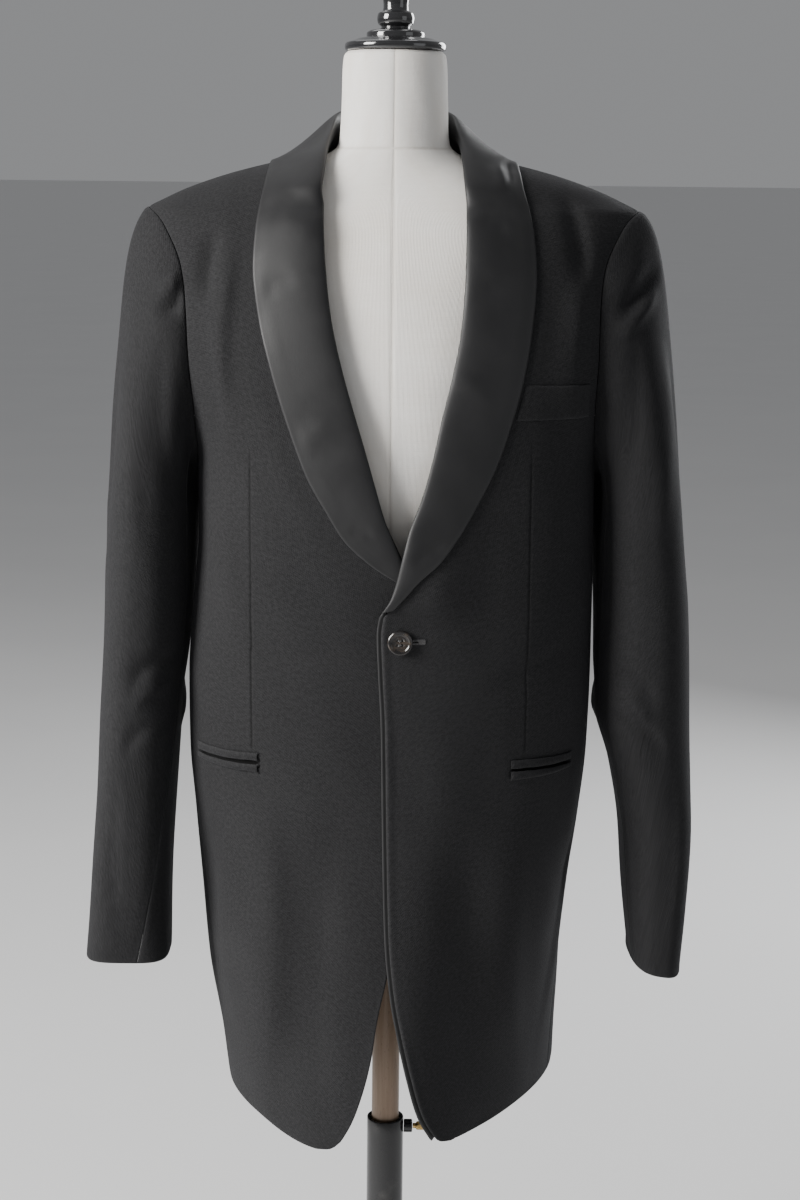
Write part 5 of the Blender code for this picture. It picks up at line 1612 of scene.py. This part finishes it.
    def under_arm(self) -> bpy.types.Object:
        """The side body, which runs under the arm and follows the armhole at its top.

        Returns:
            The finished piece.
        """
        share = close_at(33, (), (0.008, 0.02))[None, :]
        low, high = self.shape.seam_front, self.shape.seam_back
        turn = np.radians(low + (high - low) * share)
        gap = self.shape.gap(turn, 0.9 + 0 * turn, (SEAM_GAP + (self.corner_gap - SEAM_GAP) * share) / 2)
        turn = turn + gap * (1 - 2 * share)
        floor = self.shape.armhole_mid_z - self.shape.armhole_drop
        top = np.full_like(turn, floor)
        for _ in range(5):
            y = self.shape.face(turn * self.sign, top)[..., 1]
            wide = np.where(y < 0, self.shape.armhole_front, self.shape.armhole_back)
            arch = np.sqrt(np.clip(1 - (y / wide) ** 2, 0, 1))
            top = self.shape.armhole_mid_z - self.shape.armhole_drop * arch
        up = close_at(176, (), (0.0006, 0.0014, 0.0025))[:, None]
        z = HEM_Z + (top - HEM_Z) * up
        points = self.placed(turn + 0 * z, z)
        flutes = drawn(View.LEFT if self.left else View.RIGHT,
            (-0.03, 0.86, -0.04, 0.55, 0.02, 0.0026, 0.03), (0.02, 0.9, 0.028, 0.56, 0.018, -0.0024, -0.04),
            (-0.02, 1.02, 0.045, 1.0, 0.01, -0.0014, 0.1))
        inner = ease(self.hem_turnup, self.hem_turnup - 0.001, z - HEM_Z) + 0 * turn
        sheet = Sheet(f"side_{self.side}", points, WOOL, folds=flutes, swell=0.0012, seed=self.seed + 1.1,
                      turnup=inner, edge_round=0.0017)
        return sheet.build([self.looks.wool, self.looks.lining], "wool")

    def back_folds(self) -> list[Fold]:
        """Drag lines below the shoulder blade and collar, and flutes in the skirt, a little different each side.

        Returns:
            Folds seen from behind.
        """
        s, k = self.sign, (1.0 if self.left else 0.86)
        return drawn(View.BACK,
            (s * 0.15, 1.35, s * 0.138, 1.17, 0.012, -0.0042 * k, 0.05 * s),
            (s * 0.126, 1.33, s * 0.112, 1.12, 0.015, 0.0033 * k, 0.04 * s),
            (s * 0.012, 1.392, s * 0.095, 1.384, 0.008, -0.0021 * k, 0.06),
            (s * 0.02, 1.03, s * (0.1 + 0.02 * k), 1.004, 0.01, -0.0023, 0.08),
            (s * 0.03, 1.0, s * 0.09, 0.985, 0.009, 0.0018 * k, -0.08),
            (s * 0.04, 0.87, s * (0.05 + 0.006 * k), 0.545, 0.022, 0.0045 * k, 0.03),
            (s * 0.09, 0.9, s * 0.1, 0.56, 0.02, -0.0039, -0.03),
            (s * 0.135, 0.88, s * 0.142, 0.55, 0.018, 0.0039 * k, 0.04))

    def back(self) -> bpy.types.Object:
        """The back, from the centre seam to the side-back seam and armhole, open at its top for the neck.

        Returns:
            The finished piece.
        """
        z = self.rows(self.back_top, (1.4280,))
        rim = self.shape.rim(z, self.left, forward=False)
        rim = rim + self.shape.gap(rim, z, np.where(z > self.shape.armhole_mid_z, self.ridge_gap, self.corner_gap) / 2)
        neck = np.clip((z - 1.4280) / 0.0125, 0, 1)
        opening = math.pi - self.shape.gap(0 * z + math.pi - 0.02, z, SEAM_GAP / 2) - np.sqrt(neck) * math.radians(72)
        share = close_at(63, (), (0.004, 0.010, 0.018))[None, :]
        turn = opening + (rim - opening) * share
        points = self.placed(turn, z + 0 * turn)
        steady = ease(1.412, 1.385, points[..., 2])
        inner = ease(self.hem_turnup, self.hem_turnup - 0.001, points[..., 2] - HEM_Z)
        sheet = Sheet(f"back_{self.side}", points, WOOL, folds=self.back_folds(), swell=0.0013, seed=self.seed + 2.7,
                      steady=steady, turnup=inner, edge_round=0.0017)
        return sheet.build([self.looks.wool, self.looks.lining], "wool")

    def pocket_strips(self) -> list[bpy.types.Object]:
        """The two gaping jets of the hip pocket, each a soft roll that moves with the front's own folds.

        Returns:
            The upper and the lower jet.
        """
        near, far, z = self.pocket
        drawn = (
            ("upper", (z + 0.0025, z + 0.0010), (z + 0.0108, z + 0.0088), 0.0014),
            ("lower", (z - 0.0085, z - 0.0065), (z, z - 0.0015), 0.0021),
        )
        return [self.strip(f"pocket_{self.side}_{name}", low, high, near, far, bulge, 0.0)
                for name, low, high, bulge in drawn]

    def strip(self, name: str, low: Pair, high: Pair, start: float, stop: float, bulge: float,
              slant: float) -> bpy.types.Object:
        """A strip laid on the front between two lines, each given by its height at its two ends.

        Args:
            name: The solid it takes the place of.
            low: Heights of its lower edge, at the inner and outer end.
            high: Heights of its upper edge.
            start: Where it starts, out from centre.
            stop: Where it stops.
            bulge: How far its middle stands up.
            slant: How far its inner end leans outward as it rises.

        Returns:
            The strip.
        """
        u = close_at(19, (), (0.01, 0.03, 0.06))[None, :]
        v = close_at(84, (), (0.002, 0.006, 0.012))[:, None]
        near = start + slant * u
        x = near + (stop - near) * v
        z = low[0] + (low[1] - low[0]) * v
        z = z + (high[0] + (high[1] - high[0]) * v - z) * u
        z = z + 0.00025 * np.sin(95 * x + 3.0 * self.sign) + 0.00012 * np.sin(410 * x)
        raised = 0.0004 + JET + bulge * np.sin(math.pi * v) ** 0.5 * np.sin(math.pi * u) ** 0.8
        points = self.shape.on_front(x, z, raised, self.left)
        tack = np.exp(-(((v - 0.012) / 0.006) ** 2)) + np.exp(-(((v - 0.988) / 0.006) ** 2))
        # Painted shade: the dented tacks at both ends take a share of the seam darkening.
        sheet = Sheet(name, points, JET, folds=self.front_folds(), swell=0.0011, seed=self.seed, calm=0.0,
                      relief=-0.0004 * tack + 0 * u, seam=0.3 * tack + 0 * u, edge_round=0.0009,
                      held="laid", rests_on=(f"front_{self.side}_cloth",))
        return sheet.build([self.looks.wool], "wool")

    def build(self) -> None:
        """Makes every piece of this half of the body."""
        self.front()
        self.under_arm()
        self.back()
        self.pocket_strips()
        if self.left:
            self.strip("breast_welt", (1.2178, 1.2182), (1.2490, 1.2475), 0.1085, 0.1745, 0.0007, 0.0085)


@dataclass
class Sleeve:
    """The top and under pieces of one sleeve, sewn along a front and a back seam."""

    looks: Looks
    shape: SleeveShape
    inset: float = 0.04  # degrees left open on each side of a seam
    cuff_turnup: float = 0.038

    def folds(self) -> list[Fold]:
        """Tucks at the head, soft creases inside the elbow and long shallow hollows down the arm.

        Returns:
            Folds seen from the front, the side and behind.
        """
        if self.shape.left:
            view = View.LEFT
            return [
                *drawn(View.FRONT,
                    (0.24, 1.349, 0.2, 1.307, 0.008, -0.0066, 0.06),
                    (0.236, 1.331, 0.203, 1.29, 0.0085, 0.004, 0.05), (0.214, 1.3, 0.206, 1.15, 0.012, -0.004, 0.05),
                    (0.244, 1.27, 0.236, 1.09, 0.014, 0.0031, 0.03),
                    (0.206, 0.985, 0.246, 0.958, 0.008, -0.0037, 0.12),
                    (0.208, 0.962, 0.24, 0.936, 0.007, 0.0028, 0.1),
                    (0.214, 0.94, 0.254, 0.905, 0.008, -0.0034, 0.12),
                    (0.262, 0.9, 0.264, 0.74, 0.01, -0.0028, 0.03)),
                *drawn(view,
                    (-0.03, 1.28, -0.022, 1.06, 0.014, -0.004, 0.05), (0.03, 1.3, 0.034, 1.02, 0.015, 0.0037, -0.04),
                    (0.055, 0.985, 0.0, 0.95, 0.01, -0.0034, 0.1), (0.045, 0.95, 0.005, 0.925, 0.009, 0.0028, 0.1)),
                *drawn(View.BACK,
                    (0.23, 1.28, 0.226, 1.05, 0.013, -0.004, 0.04),
                    (0.215, 0.99, 0.262, 0.96, 0.009, -0.0037, -0.12)),
            ]
        view = View.RIGHT
        return [
            *drawn(View.FRONT,
                (-0.21, 1.306, -0.176, 1.331, 0.007, -0.0072, -0.05),
                (-0.208, 1.324, -0.178, 1.346, 0.0075, 0.0052, -0.05),
                (-0.203, 1.29, -0.196, 1.14, 0.012, -0.0037, -0.05),
                (-0.233, 1.28, -0.226, 1.08, 0.014, 0.0031, -0.03),
                (-0.198, 0.99, -0.238, 0.965, 0.008, -0.0034, -0.12),
                (-0.203, 0.966, -0.236, 0.943, 0.007, 0.0026, -0.1),
                (-0.207, 0.93, -0.244, 0.902, 0.0075, -0.0028, -0.12),
                (-0.25, 0.88, -0.256, 0.73, 0.01, -0.0025, -0.03)),
            *drawn(view,
                (-0.034, 1.26, -0.026, 1.08, 0.014, -0.0037, -0.05), (0.026, 1.29, 0.032, 1.0, 0.016, 0.0037, 0.04),
                (0.05, 0.97, -0.004, 0.935, 0.01, -0.0037, -0.1), (0.042, 0.938, -0.002, 0.912, 0.009, 0.0028, -0.1)),
            *drawn(View.BACK,
                (-0.222, 1.26, -0.218, 1.06, 0.013, -0.0037, -0.04),
                (-0.208, 0.975, -0.25, 0.945, 0.009, -0.0034, 0.12)),
        ]

    def piece(self, under: bool) -> bpy.types.Object:
        """The top or the under sleeve, from its armhole edge to its cuff.

        Args:
            under: Whether it is the under sleeve.

        Returns:
            The finished piece.
        """
        name = "under" if under else "top"
        side = "left" if self.shape.left else "right"
        u = close_at(34 if under else 78, (), (0.004, 0.010, 0.018))[None, :]
        v = close_at(200, (0.5,), (0.0008, 0.0018, 0.003))[:, None]
        down = 2 * v
        front, back = self.shape.seams(down)
        if under:
            angle = front + self.inset + (back - front - 2 * self.inset) * u
        else:
            angle = back - 360 + self.inset + (front - back + 360 - 2 * self.inset) * u
        points = self.shape.point(angle, down + 0 * u)
        length = walked(points, 0)
        cuff = ease(self.cuff_turnup, self.cuff_turnup - 0.001, length[-1:] - length)
        head = np.exp(-((length / 0.010) ** 2))
        arm_x = 0.235 if self.shape.left else -0.235
        seed = (7.7 if self.shape.left else 2.2) + (0.9 if under else 0.0)
        sheet = Sheet(f"sleeve_{name}_{side}", points, WOOL, axis=(arm_x, -0.005), folds=self.folds(), swell=0.0012,
                      seed=seed, relief=0.0007 * head, turnup=cuff, edge_round=0.0016,
                      rests_on=(f"front_{side}_cloth", f"back_{side}_cloth", "form_torso_linen"))
        return sheet.build([self.looks.wool, self.looks.lining], "wool")

    def build(self) -> None:
        """Makes both pieces."""
        self.piece(False)
        self.piece(True)


@dataclass
class Collar:
    """One half of the satin shawl collar, rolled over at its crease, with the turned edge of its seam inside."""

    looks: Looks
    shape: CollarShape
    ridge_in: float = 0.0130  # the seam allowance inside shows as a faint ridge this far in from the edge
    ridge_high: float = 0.00006

    def folds(self) -> list[Fold]:
        """Dents where the satin has been creased in hanging, uneven from side to side.

        Returns:
            Folds seen from the front and behind.
        """
        if self.shape.left:
            return [
                *drawn(View.FRONT,
                    (0.101, 1.442, 0.108, 1.421, 0.0048, -0.0022, 0.05),
                    (0.09, 1.44, 0.098, 1.416, 0.0055, 0.0012, 0.04),
                    (0.074, 1.392, 0.101, 1.379, 0.0065, -0.001, 0.1),
                    (0.058, 1.255, 0.089, 1.231, 0.009, 0.0009, 0.06),
                    (0.02, 1.095, 0.05, 1.112, 0.006, -0.0009, 0.08)),
                *drawn(View.BACK,
                    (0.02, 1.452, 0.06, 1.446, 0.007, -0.0012, 0.06)),
            ]
        return [
            *drawn(View.FRONT,
                (-0.1, 1.412, -0.066, 1.396, 0.01, -0.0007, 0.08),
                (-0.098, 1.39, -0.066, 1.378, 0.011, 0.0005, 0.06),
                (-0.084, 1.338, -0.112, 1.324, 0.008, -0.0008, -0.1),
                (-0.05, 1.212, -0.08, 1.192, 0.0085, 0.0009, -0.06),
                (-0.014, 1.118, -0.036, 1.12, 0.005, -0.0008, -0.08)),
            *drawn(View.BACK,
                (-0.024, 1.449, -0.066, 1.44, 0.0065, -0.0012, -0.05)),
        ]

    def build(self) -> bpy.types.Object:
        """Makes the half, its columns closest over the roll and at the outer edge.

        Returns:
            The finished piece.
        """
        side = "left" if self.shape.left else "right"
        u = close_at(60, (self.shape.turned_in,), (0.006, 0.014, 0.024, 0.036))[None, :]
        v = close_at(222, (), (0.0015, 0.004))[:, None]
        points = self.shape.point(u + 0 * v, v + 0 * u)
        across = walked(points, 1)
        to_edge = across[:, -1:] - across
        width = across[:, -1:]
        ridge = np.exp(-(((to_edge - self.ridge_in) / 0.0026) ** 2)) * ease(0.03, 0.05, width)
        wave = 1 + 0.5 * np.sin(21 * v * 2 + 1.7 * self.shape.left)
        relief = self.ridge_high * ridge * wave - 0.0001 * np.exp(-(((to_edge - 0.0045) / 0.0022) ** 2))
        steady = ease(self.shape.turned_in - 0.02, self.shape.turned_in + 0.16, u) + 0 * v
        sheet = Sheet(f"collar_{side}", points, SATIN, folds=self.folds(), swell=0.0005,
                      seed=3.1 if self.shape.left else 6.4, steady=steady, relief=relief, edge_round=0.0014,
                      held="folded", rests_on=("front_left_cloth", "front_right_cloth", "back_left_cloth",
                                               "back_right_cloth", "form_torso_linen"))
        return sheet.build([self.looks.satin, self.looks.wool], "satin")


@dataclass
class Closure:
    """The front edge's satin strip, the one button with its shank, and the keyhole buttonhole."""

    looks: Looks
    shape: BodyShape
    shows: float = 0.0030  # how far the strip shows past the cloth's edge
    hole_radius: float = 0.0010
    hole_out: float = 0.0019
    slit_start: float = 0.0110
    slit_stop: float = 0.0262
    tack_stop: float = 0.0320

    def strip(self) -> bpy.types.Object:
        """The satin strip just inside the left front, from its hem to the break.

        Returns:
            The finished piece.
        """
        z = (0.5445 + (1.0500 - 0.5445) * close_at(190, (), (0.002, 0.005)))[:, None]
        edge = Table(EDGE_LEFT)
        x = edge("x", z)
        slope = (edge("x", z + 0.002) - edge("x", z - 0.002)) / 0.004
        level = 1 / np.sqrt(1 + slope**2)
        shift = -self.shows + (0.012 + self.shows) * close_at(20, (0.18,), (0.01, 0.03, 0.05))[None, :]
        px, pz = x + level * shift, z - slope * level * shift
        pz = np.maximum(pz, HEM_Z + 0.0005)
        pz = pz + self.shape.hem_drop(np.abs(self.shape.tau_at_x(px, pz)), pz, True)
        lift = self.shape.overlap_lift(px, pz) - WOOL - 0.0008
        points = self.shape.lifted(self.shape.tau_at_x(px, pz), pz, lift)
        roll = 0.0005 * np.exp(-(((shift + self.shows - 0.0012) / 0.0010) ** 2))
        # Painted shade: the seam share darkens the strip where it tucks under the cloth's edge.
        tuck_shade = np.exp(-(((shift - 0.0006) / 0.0011) ** 2)) + 0 * z
        sheet = Sheet("front_facing", points, FACING, calm=0.0, relief=roll + 0 * z, seam=tuck_shade, edge_round=0.0009,
                      rests_on=("front_left_cloth",))
        return sheet.build([self.looks.satin], "satin")

    def seat(self) -> Array:
        """Where the button's back lies, 1.6 mm off the cloth."""
        lift = self.shape.overlap_lift(BUTTON_X, BUTTON_Z) + 0.0016
        return self.shape.lifted(self.shape.tau_at_x(BUTTON_X, BUTTON_Z), np.array(BUTTON_Z), lift)

    def wells(self, points: Array) -> Array:
        """Four round wells through the button's face, with softened rims.

        Args:
            points: Points of the button, with their height last.

        Returns:
            Depth at each point.
        """
        depth = np.zeros(len(points))
        for dx in (-self.hole_out, self.hole_out):
            for dy in (-self.hole_out, self.hole_out):
                away = np.hypot(points[:, 0] - dx, points[:, 1] - dy)
                depth = np.maximum(depth, ease(self.hole_radius * 1.25, self.hole_radius * 0.75, away))
        return 0.0016 * depth * (points[:, 2] > 0.0015)

    def button(self) -> None:
        """The horn button, the four-hole stitching on its face and the wound shank behind it."""
        place = self.seat()
        made = turned("button_horn", BUTTON_PROFILE, place, axis="-Y", steps=130, fine=9, sink=self.wells)
        finish_hard(made, self.looks.horn, "form", "horn", "button")
        out, face = self.hole_out, place[1] - 0.0024
        lines = []
        for up in (-out, out):
            for k in (-1, 0, 1):
                t = np.linspace(0, 1, 15)
                x = place[0] - out + 2 * out * t
                y = face - 0.00035 * np.sin(math.pi * t) ** 0.5 + 0.0012 * np.abs(2 * t - 1) ** 7
                lines.append(np.stack([x, y, place[2] + up + 0.00036 * k * (1 + 0.15 * np.sin(9 * t + k))], axis=-1))
        for i, line in enumerate(lines):
            thread = tube(f"button_thread_{i}", line, 0.00021, sides=8)
            finish_hard(thread, self.looks.twist, "form", "satin")
        turns = np.linspace(0, 2 * math.pi * 5, 240)
        radius = 0.0021 - 0.00012 * np.sin(turns / 5)
        shank = np.stack([place[0] + radius * np.cos(turns), place[1] + 0.0001 + 0.0013 * turns / turns[-1],
                          place[2] + radius * np.sin(turns)], axis=-1)
        finish_hard(tube("button_shank", shank, 0.00026, sides=8), self.looks.twist, "form", "satin")

    def buttonhole(self) -> None:
        """A worked buttonhole: close purl stitches on both sides of the slit, and a bar tack at its outer end."""
        x = np.arange(self.slit_start, self.slit_stop, 0.00052)
        z = np.full_like(x, BUTTON_Z)
        starts, stops = [], []
        for side in (-1, 1):
            wobble = 0.0001 * np.sin(5300 * x + side)
            starts.append(self.shape.on_front(x, z + side * 0.00045, 0.0003, True))
            stops.append(self.shape.on_front(x + 0.0001, z + side * 0.00215 + wobble, 0.0001, True))
        across = np.arange(self.slit_stop, self.tack_stop, 0.00050)
        level = np.full_like(across, BUTTON_Z)
        starts.append(self.shape.on_front(across, level - 0.0019, 0.0003, True))
        stops.append(self.shape.on_front(across + 0.0002, level + 0.0019, 0.0003, True))
        made = stitches("buttonhole_purl", np.concatenate(starts), np.concatenate(stops), 0.00030, (0.0, -1.0, 0.0))
        finish_hard(made, self.looks.twist, "form", "satin")
        t = np.linspace(0, 1, 50)
        for side in (-1, 1):
            reach = self.slit_start + (self.tack_stop - 0.0004 - self.slit_start) * t
            line = self.shape.on_front(reach, BUTTON_Z + side * 0.0022 + 0 * reach, 0.0002, True)
            finish_hard(tube(f"buttonhole_gimp_{side + 1}", line, 0.00030, 8), self.looks.thread, "form", "satin")
        # Painted shade: the slit is a flat near-black patch laid on the cloth, standing in for the shadow inside the
        # cut.
        dark = np.linspace(self.slit_start, self.slit_stop, 60)[:, None]
        up = np.linspace(-0.00055, 0.00055, 7)[None, :]
        slit = self.shape.on_front(dark + 0 * up, BUTTON_Z + up + 0 * dark, 0.00012, True)
        patch = make_mesh("buttonhole_slit", slit, grid_faces(60, 7)[:, ::-1])
        finish_hard(patch, self.looks.dark, "form", "satin")

    def build(self) -> None:
        """Makes the strip, the button and the buttonhole."""
        self.strip()
        self.button()
        self.buttonhole()


# ---------------------------------------------------------------- the form and its stand
def finish_hard(made: bpy.types.Object, look: bpy.types.Material, body: str, slot: str, *nodes: str) -> None:
    """Gives a piece its finish and its body, and hides the solids it takes the place of.

    Args:
        made: The piece.
        look: Its finish.
        body: The CAD body it rides on.
        slot: The record's material slot; not used.
        *nodes: The solids it takes the place of.
    """
    made.data.materials.append(look)
    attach(made, body)
    if nodes:
        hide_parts(*nodes)
    LOG.info("%s: %d points, rides %s", made.name, len(made.data.vertices), body)


@dataclass
class Torso:
    """The padded linen form: a loft through its rings with pressed seams and a little slack in its cover."""

    looks: Looks
    around: int = 124
    seam_wide: float = 0.0012
    seam_deep: float = 0.0006
    neck_seam_z: float = 1.4510

    def build(self) -> bpy.types.Object:
        """Makes the closed form; its seams run down the centre, the sides, the princess lines and round the neck.

        Returns:
            The finished piece.
        """
        rings = Table(FORM)
        low, top = FORM[0].z, FORM[-1].z
        tall = top - low
        steps = [step / tall for step in (0.0005, 0.0011, 0.0020, 0.0032)]
        z = (low + tall * close_at(160, ((self.neck_seam_z - low) / tall, (1.5335 - low) / tall), steps))[:, None]
        lines = (0.0, 0.30, 0.50, 0.70, 1.0, 1.30, 1.50, 1.70)  # seams, in half turns from centre front
        share = close_at(self.around, [line / 2 for line in lines], (0.0012, 0.0026, 0.0045))[None, :-1]
        turn = 2 * math.pi * share
        power = rings("power", z)
        sine, cosine = np.sin(turn), np.cos(turn)
        reach = (np.abs(sine) ** power + np.abs(cosine) ** power) ** (-1 / power)
        deep = np.where(cosine >= 0, -rings("front", z), rings("back", z))
        x, y = rings("half", z) * reach * sine, -deep * reach * cosine
        points = np.stack([x, y, z + 0 * x], axis=-1)
        girth = np.linalg.norm(np.roll(points, -1, axis=1) - points, axis=-1).sum(axis=1, keepdims=True)
        groove = np.zeros_like(x)
        for line in lines:
            gap = np.abs(share - line / 2)
            gap = np.minimum(gap, 1 - gap) * girth
            shown = 1.0 if line in (0.0, 1.0) else ease(1.446, 1.430, z)
            groove = np.maximum(groove, np.exp(-((gap / self.seam_wide) ** 2)) * shown)
        groove = np.maximum(groove, np.exp(-(((z - self.neck_seam_z) / self.seam_wide) ** 2)) + 0 * x)
        radial = unit(points * (1, 1, 0))
        slack = 0.0004 * np.sin(58 * z + 3 * turn) * np.sin(4 * turn + 21 * z)
        points = points + radial * (slack - self.seam_deep * groove)[..., None]
        rows, columns = x.shape
        last = (rows - 1) * columns
        ends = [list(range(columns))[::-1], [last + j for j in range(columns)]]
        made = make_mesh("form_torso_linen", points, grid_faces(rows, columns, around=True), ends)
        add_uv(made, share * 0.95 + 0 * z, z + 0 * share)
        add_share(made, "seam", groove)
        add_share(made, "edge", 0 * groove)
        finish_hard(made, self.looks.linen, "form", "linen", "form_torso")
        return made


@dataclass
class Stand:
    """The lacquered cap and finial, the beech pole, and the enamelled tube with its clamp on an iron base."""

    looks: Looks
    tube_outer: float = 0.0180
    tube_inner: float = 0.0139
    tube_low: float = 0.0203
    tube_high: float = 0.5110
    pole_radius: float = 0.0135
    pole_low: float = 0.1500
    pole_high: float = 0.7397
    boss_radius: float = 0.0065
    boss_long: float = 0.0085
    clamp_z: float = 0.5005
    clearance: float = 0.0004  # between the tube, the boss and the screw

    def bar(self, radius: float, long: float, soft: float = 0.001) -> list[Pair]:
        """Profile of a plain round bar with softened ends."""
        return [(0.0, long), (radius - soft, long), (radius - 0.3 * soft, long - 0.3 * soft), (radius, long - soft),
                (radius, soft), (radius - 0.3 * soft, 0.3 * soft), (radius - soft, 0.0), (0.0, 0.0)]

    def build(self) -> None:
        """Makes each turned piece in its own place."""
        cap = turned("neck_cap_lacquer", CAP_PROFILE, (0.0, 0.001, 1.5370), steps=120, fine=6, smooth=True)
        finish_hard(cap, self.looks.lacquer, "form", "lacquer", "neck_cap")
        pole = turned("pole_beech", self.bar(self.pole_radius, self.pole_high - self.pole_low),
                      (0.0, 0.0, self.pole_low), fine=6)
        finish_hard(pole, self.looks.beech, "mast", "beech", "pole")
        long, inner, outer = self.tube_high - self.tube_low, self.tube_inner, self.tube_outer
        walls = [(inner, long - 0.0008), (inner + 0.0008, long), (outer - 0.0010, long),
                 (outer - 0.0003, long - 0.0003), (outer, long - 0.0010), (outer, 0.0), (inner, 0.0)]
        finish_hard(turned("tube_enamel", walls, (0.0, 0.0, self.tube_low), fine=5), self.looks.enamel, "stand",
                    "steel", "tube")
        base = turned("base_iron", BASE_PROFILE, (0.0, 0.0, 0.0), steps=180, fine=6, smooth=True)
        finish_hard(base, self.looks.iron, "stand", "iron", "base")
        start = self.tube_outer + self.clearance
        boss = self.bar(self.boss_radius, self.boss_long, 0.0008)
        made = turned("clamp_boss_enamel", boss, (start, 0.0, self.clamp_z), axis="X", steps=96)
        finish_hard(made, self.looks.enamel, "stand", "steel", "clamp_boss")
        place = (start + self.boss_long + self.clearance, 0.0, self.clamp_z)
        made = turned("clamp_screw_brass", SCREW_PROFILE, place, axis="X", steps=144, fine=5)
        self.knurl(made, place[0])
        finish_hard(made, self.looks.brass, "clamp", "brass", "clamp_screw")

    def knurl(self, made: bpy.types.Object, start: float) -> None:
        """Presses upright grooves 0.25 mm deep into the screw's head, as a cosine round it.

        Args:
            made: The piece.
            start: Where the screw starts along X.
        """
        count = len(made.data.vertices)
        points = np.empty(count * 3, np.float32)
        made.data.vertices.foreach_get("co", points)
        points = points.reshape(-1, 3)
        y, z = points[:, 1], points[:, 2] - self.clamp_z
        radius = np.hypot(y, z)
        head = ease(0.0042, 0.0050, points[:, 0] - start) * ease(0.0106, 0.0098, points[:, 0] - start)
        cut = 0.00025 * head * (radius > 0.0036) * (0.5 + 0.5 * np.cos(28 * np.arctan2(z, y)))
        scale = (radius - cut) / np.maximum(radius, 1e-9)
        points[:, 1], points[:, 2] = y * scale, self.clamp_z + z * scale
        made.data.vertices.foreach_set("co", points.reshape(-1))
        made.data.update()


# ---------------------------------------------------------------- studio
@dataclass
class Studio:
    """A pale floor, a large soft light from the viewer's left, a weak fill and the camera."""

    camera_at: tuple[float, float, float] = (0.0093, -1.96, 1.429)
    tilt: float = 11.4
    roll: float = 0.0105
    lens: float = 63.45
    sky: tuple[float, float, float] = (0.90, 0.91, 0.93)
    sky_strength: float = 0.30
    chest: tuple[float, float, float] = (0.0, 0.0, 1.15)
    floor_reach: float = 300.0
    floor_drop: float = 0.0002

    def light(self, lamp: Lamp) -> None:
        """Hangs a rectangular light in its place, turned towards the chest.

        Args:
            lamp: Its row in the table.
        """
        data = bpy.data.lights.new(lamp.name, "AREA")
        data.shape, data.size, data.size_y = "RECTANGLE", *lamp.size
        data.energy, data.color = lamp.watts, lamp.tone
        made = bpy.data.objects.new(lamp.name, data)
        bpy.context.scene.collection.objects.link(made)
        made.location = lamp.at
        made.rotation_euler = (Vector(self.chest) - Vector(lamp.at)).to_track_quat("-Z", "Y").to_euler()

    def build(self) -> None:
        """Places the floor, lights, world and camera."""
        corners = np.array([[-1, -1, 0], [1, -1, 0], [1, 1, 0], [-1, 1, 0]]) * self.floor_reach
        floor = make_mesh("floor", corners - (0, 0, self.floor_drop), np.array([[0, 1, 2, 3]]))
        floor.data.materials.append(FloorFinish().material())
        for lamp in LAMPS:
            self.light(lamp)
        world = bpy.data.worlds.new("studio")
        world.use_nodes = True
        back = world.node_tree.nodes["Background"]
        back.inputs["Color"].default_value = (*self.sky, 1.0)
        back.inputs["Strength"].default_value = self.sky_strength
        bpy.context.scene.world = world
        data = bpy.data.cameras.new("camera")
        data.sensor_fit, data.sensor_height, data.lens = "VERTICAL", 36.0, self.lens
        camera = bpy.data.objects.new("camera", data)
        bpy.context.scene.collection.objects.link(camera)
        look = Matrix.Rotation(math.radians(90 - self.tilt), 4, "X") @ Matrix.Rotation(self.roll, 4, "Z")
        camera.matrix_world = Matrix.Translation(self.camera_at) @ look
        bpy.context.scene.camera = camera


def main() -> None:
    """Builds every piece in order, the jacket from its body outward, then the form, the stand and the studio."""
    logging.basicConfig(level=logging.INFO, format="%(message)s")
    looks = Looks()
    shape = BodyShape()
    for left in (True, False):
        Panels(looks, shape, left).build()
        Sleeve(looks, SleeveShape(shape, left)).build()
        Collar(looks, CollarShape(shape, left)).build()
    Closure(looks, shape).build()
    Torso(looks).build()
    Stand(looks).build()
    Studio().build()


if __name__ == "__main__":
    main()
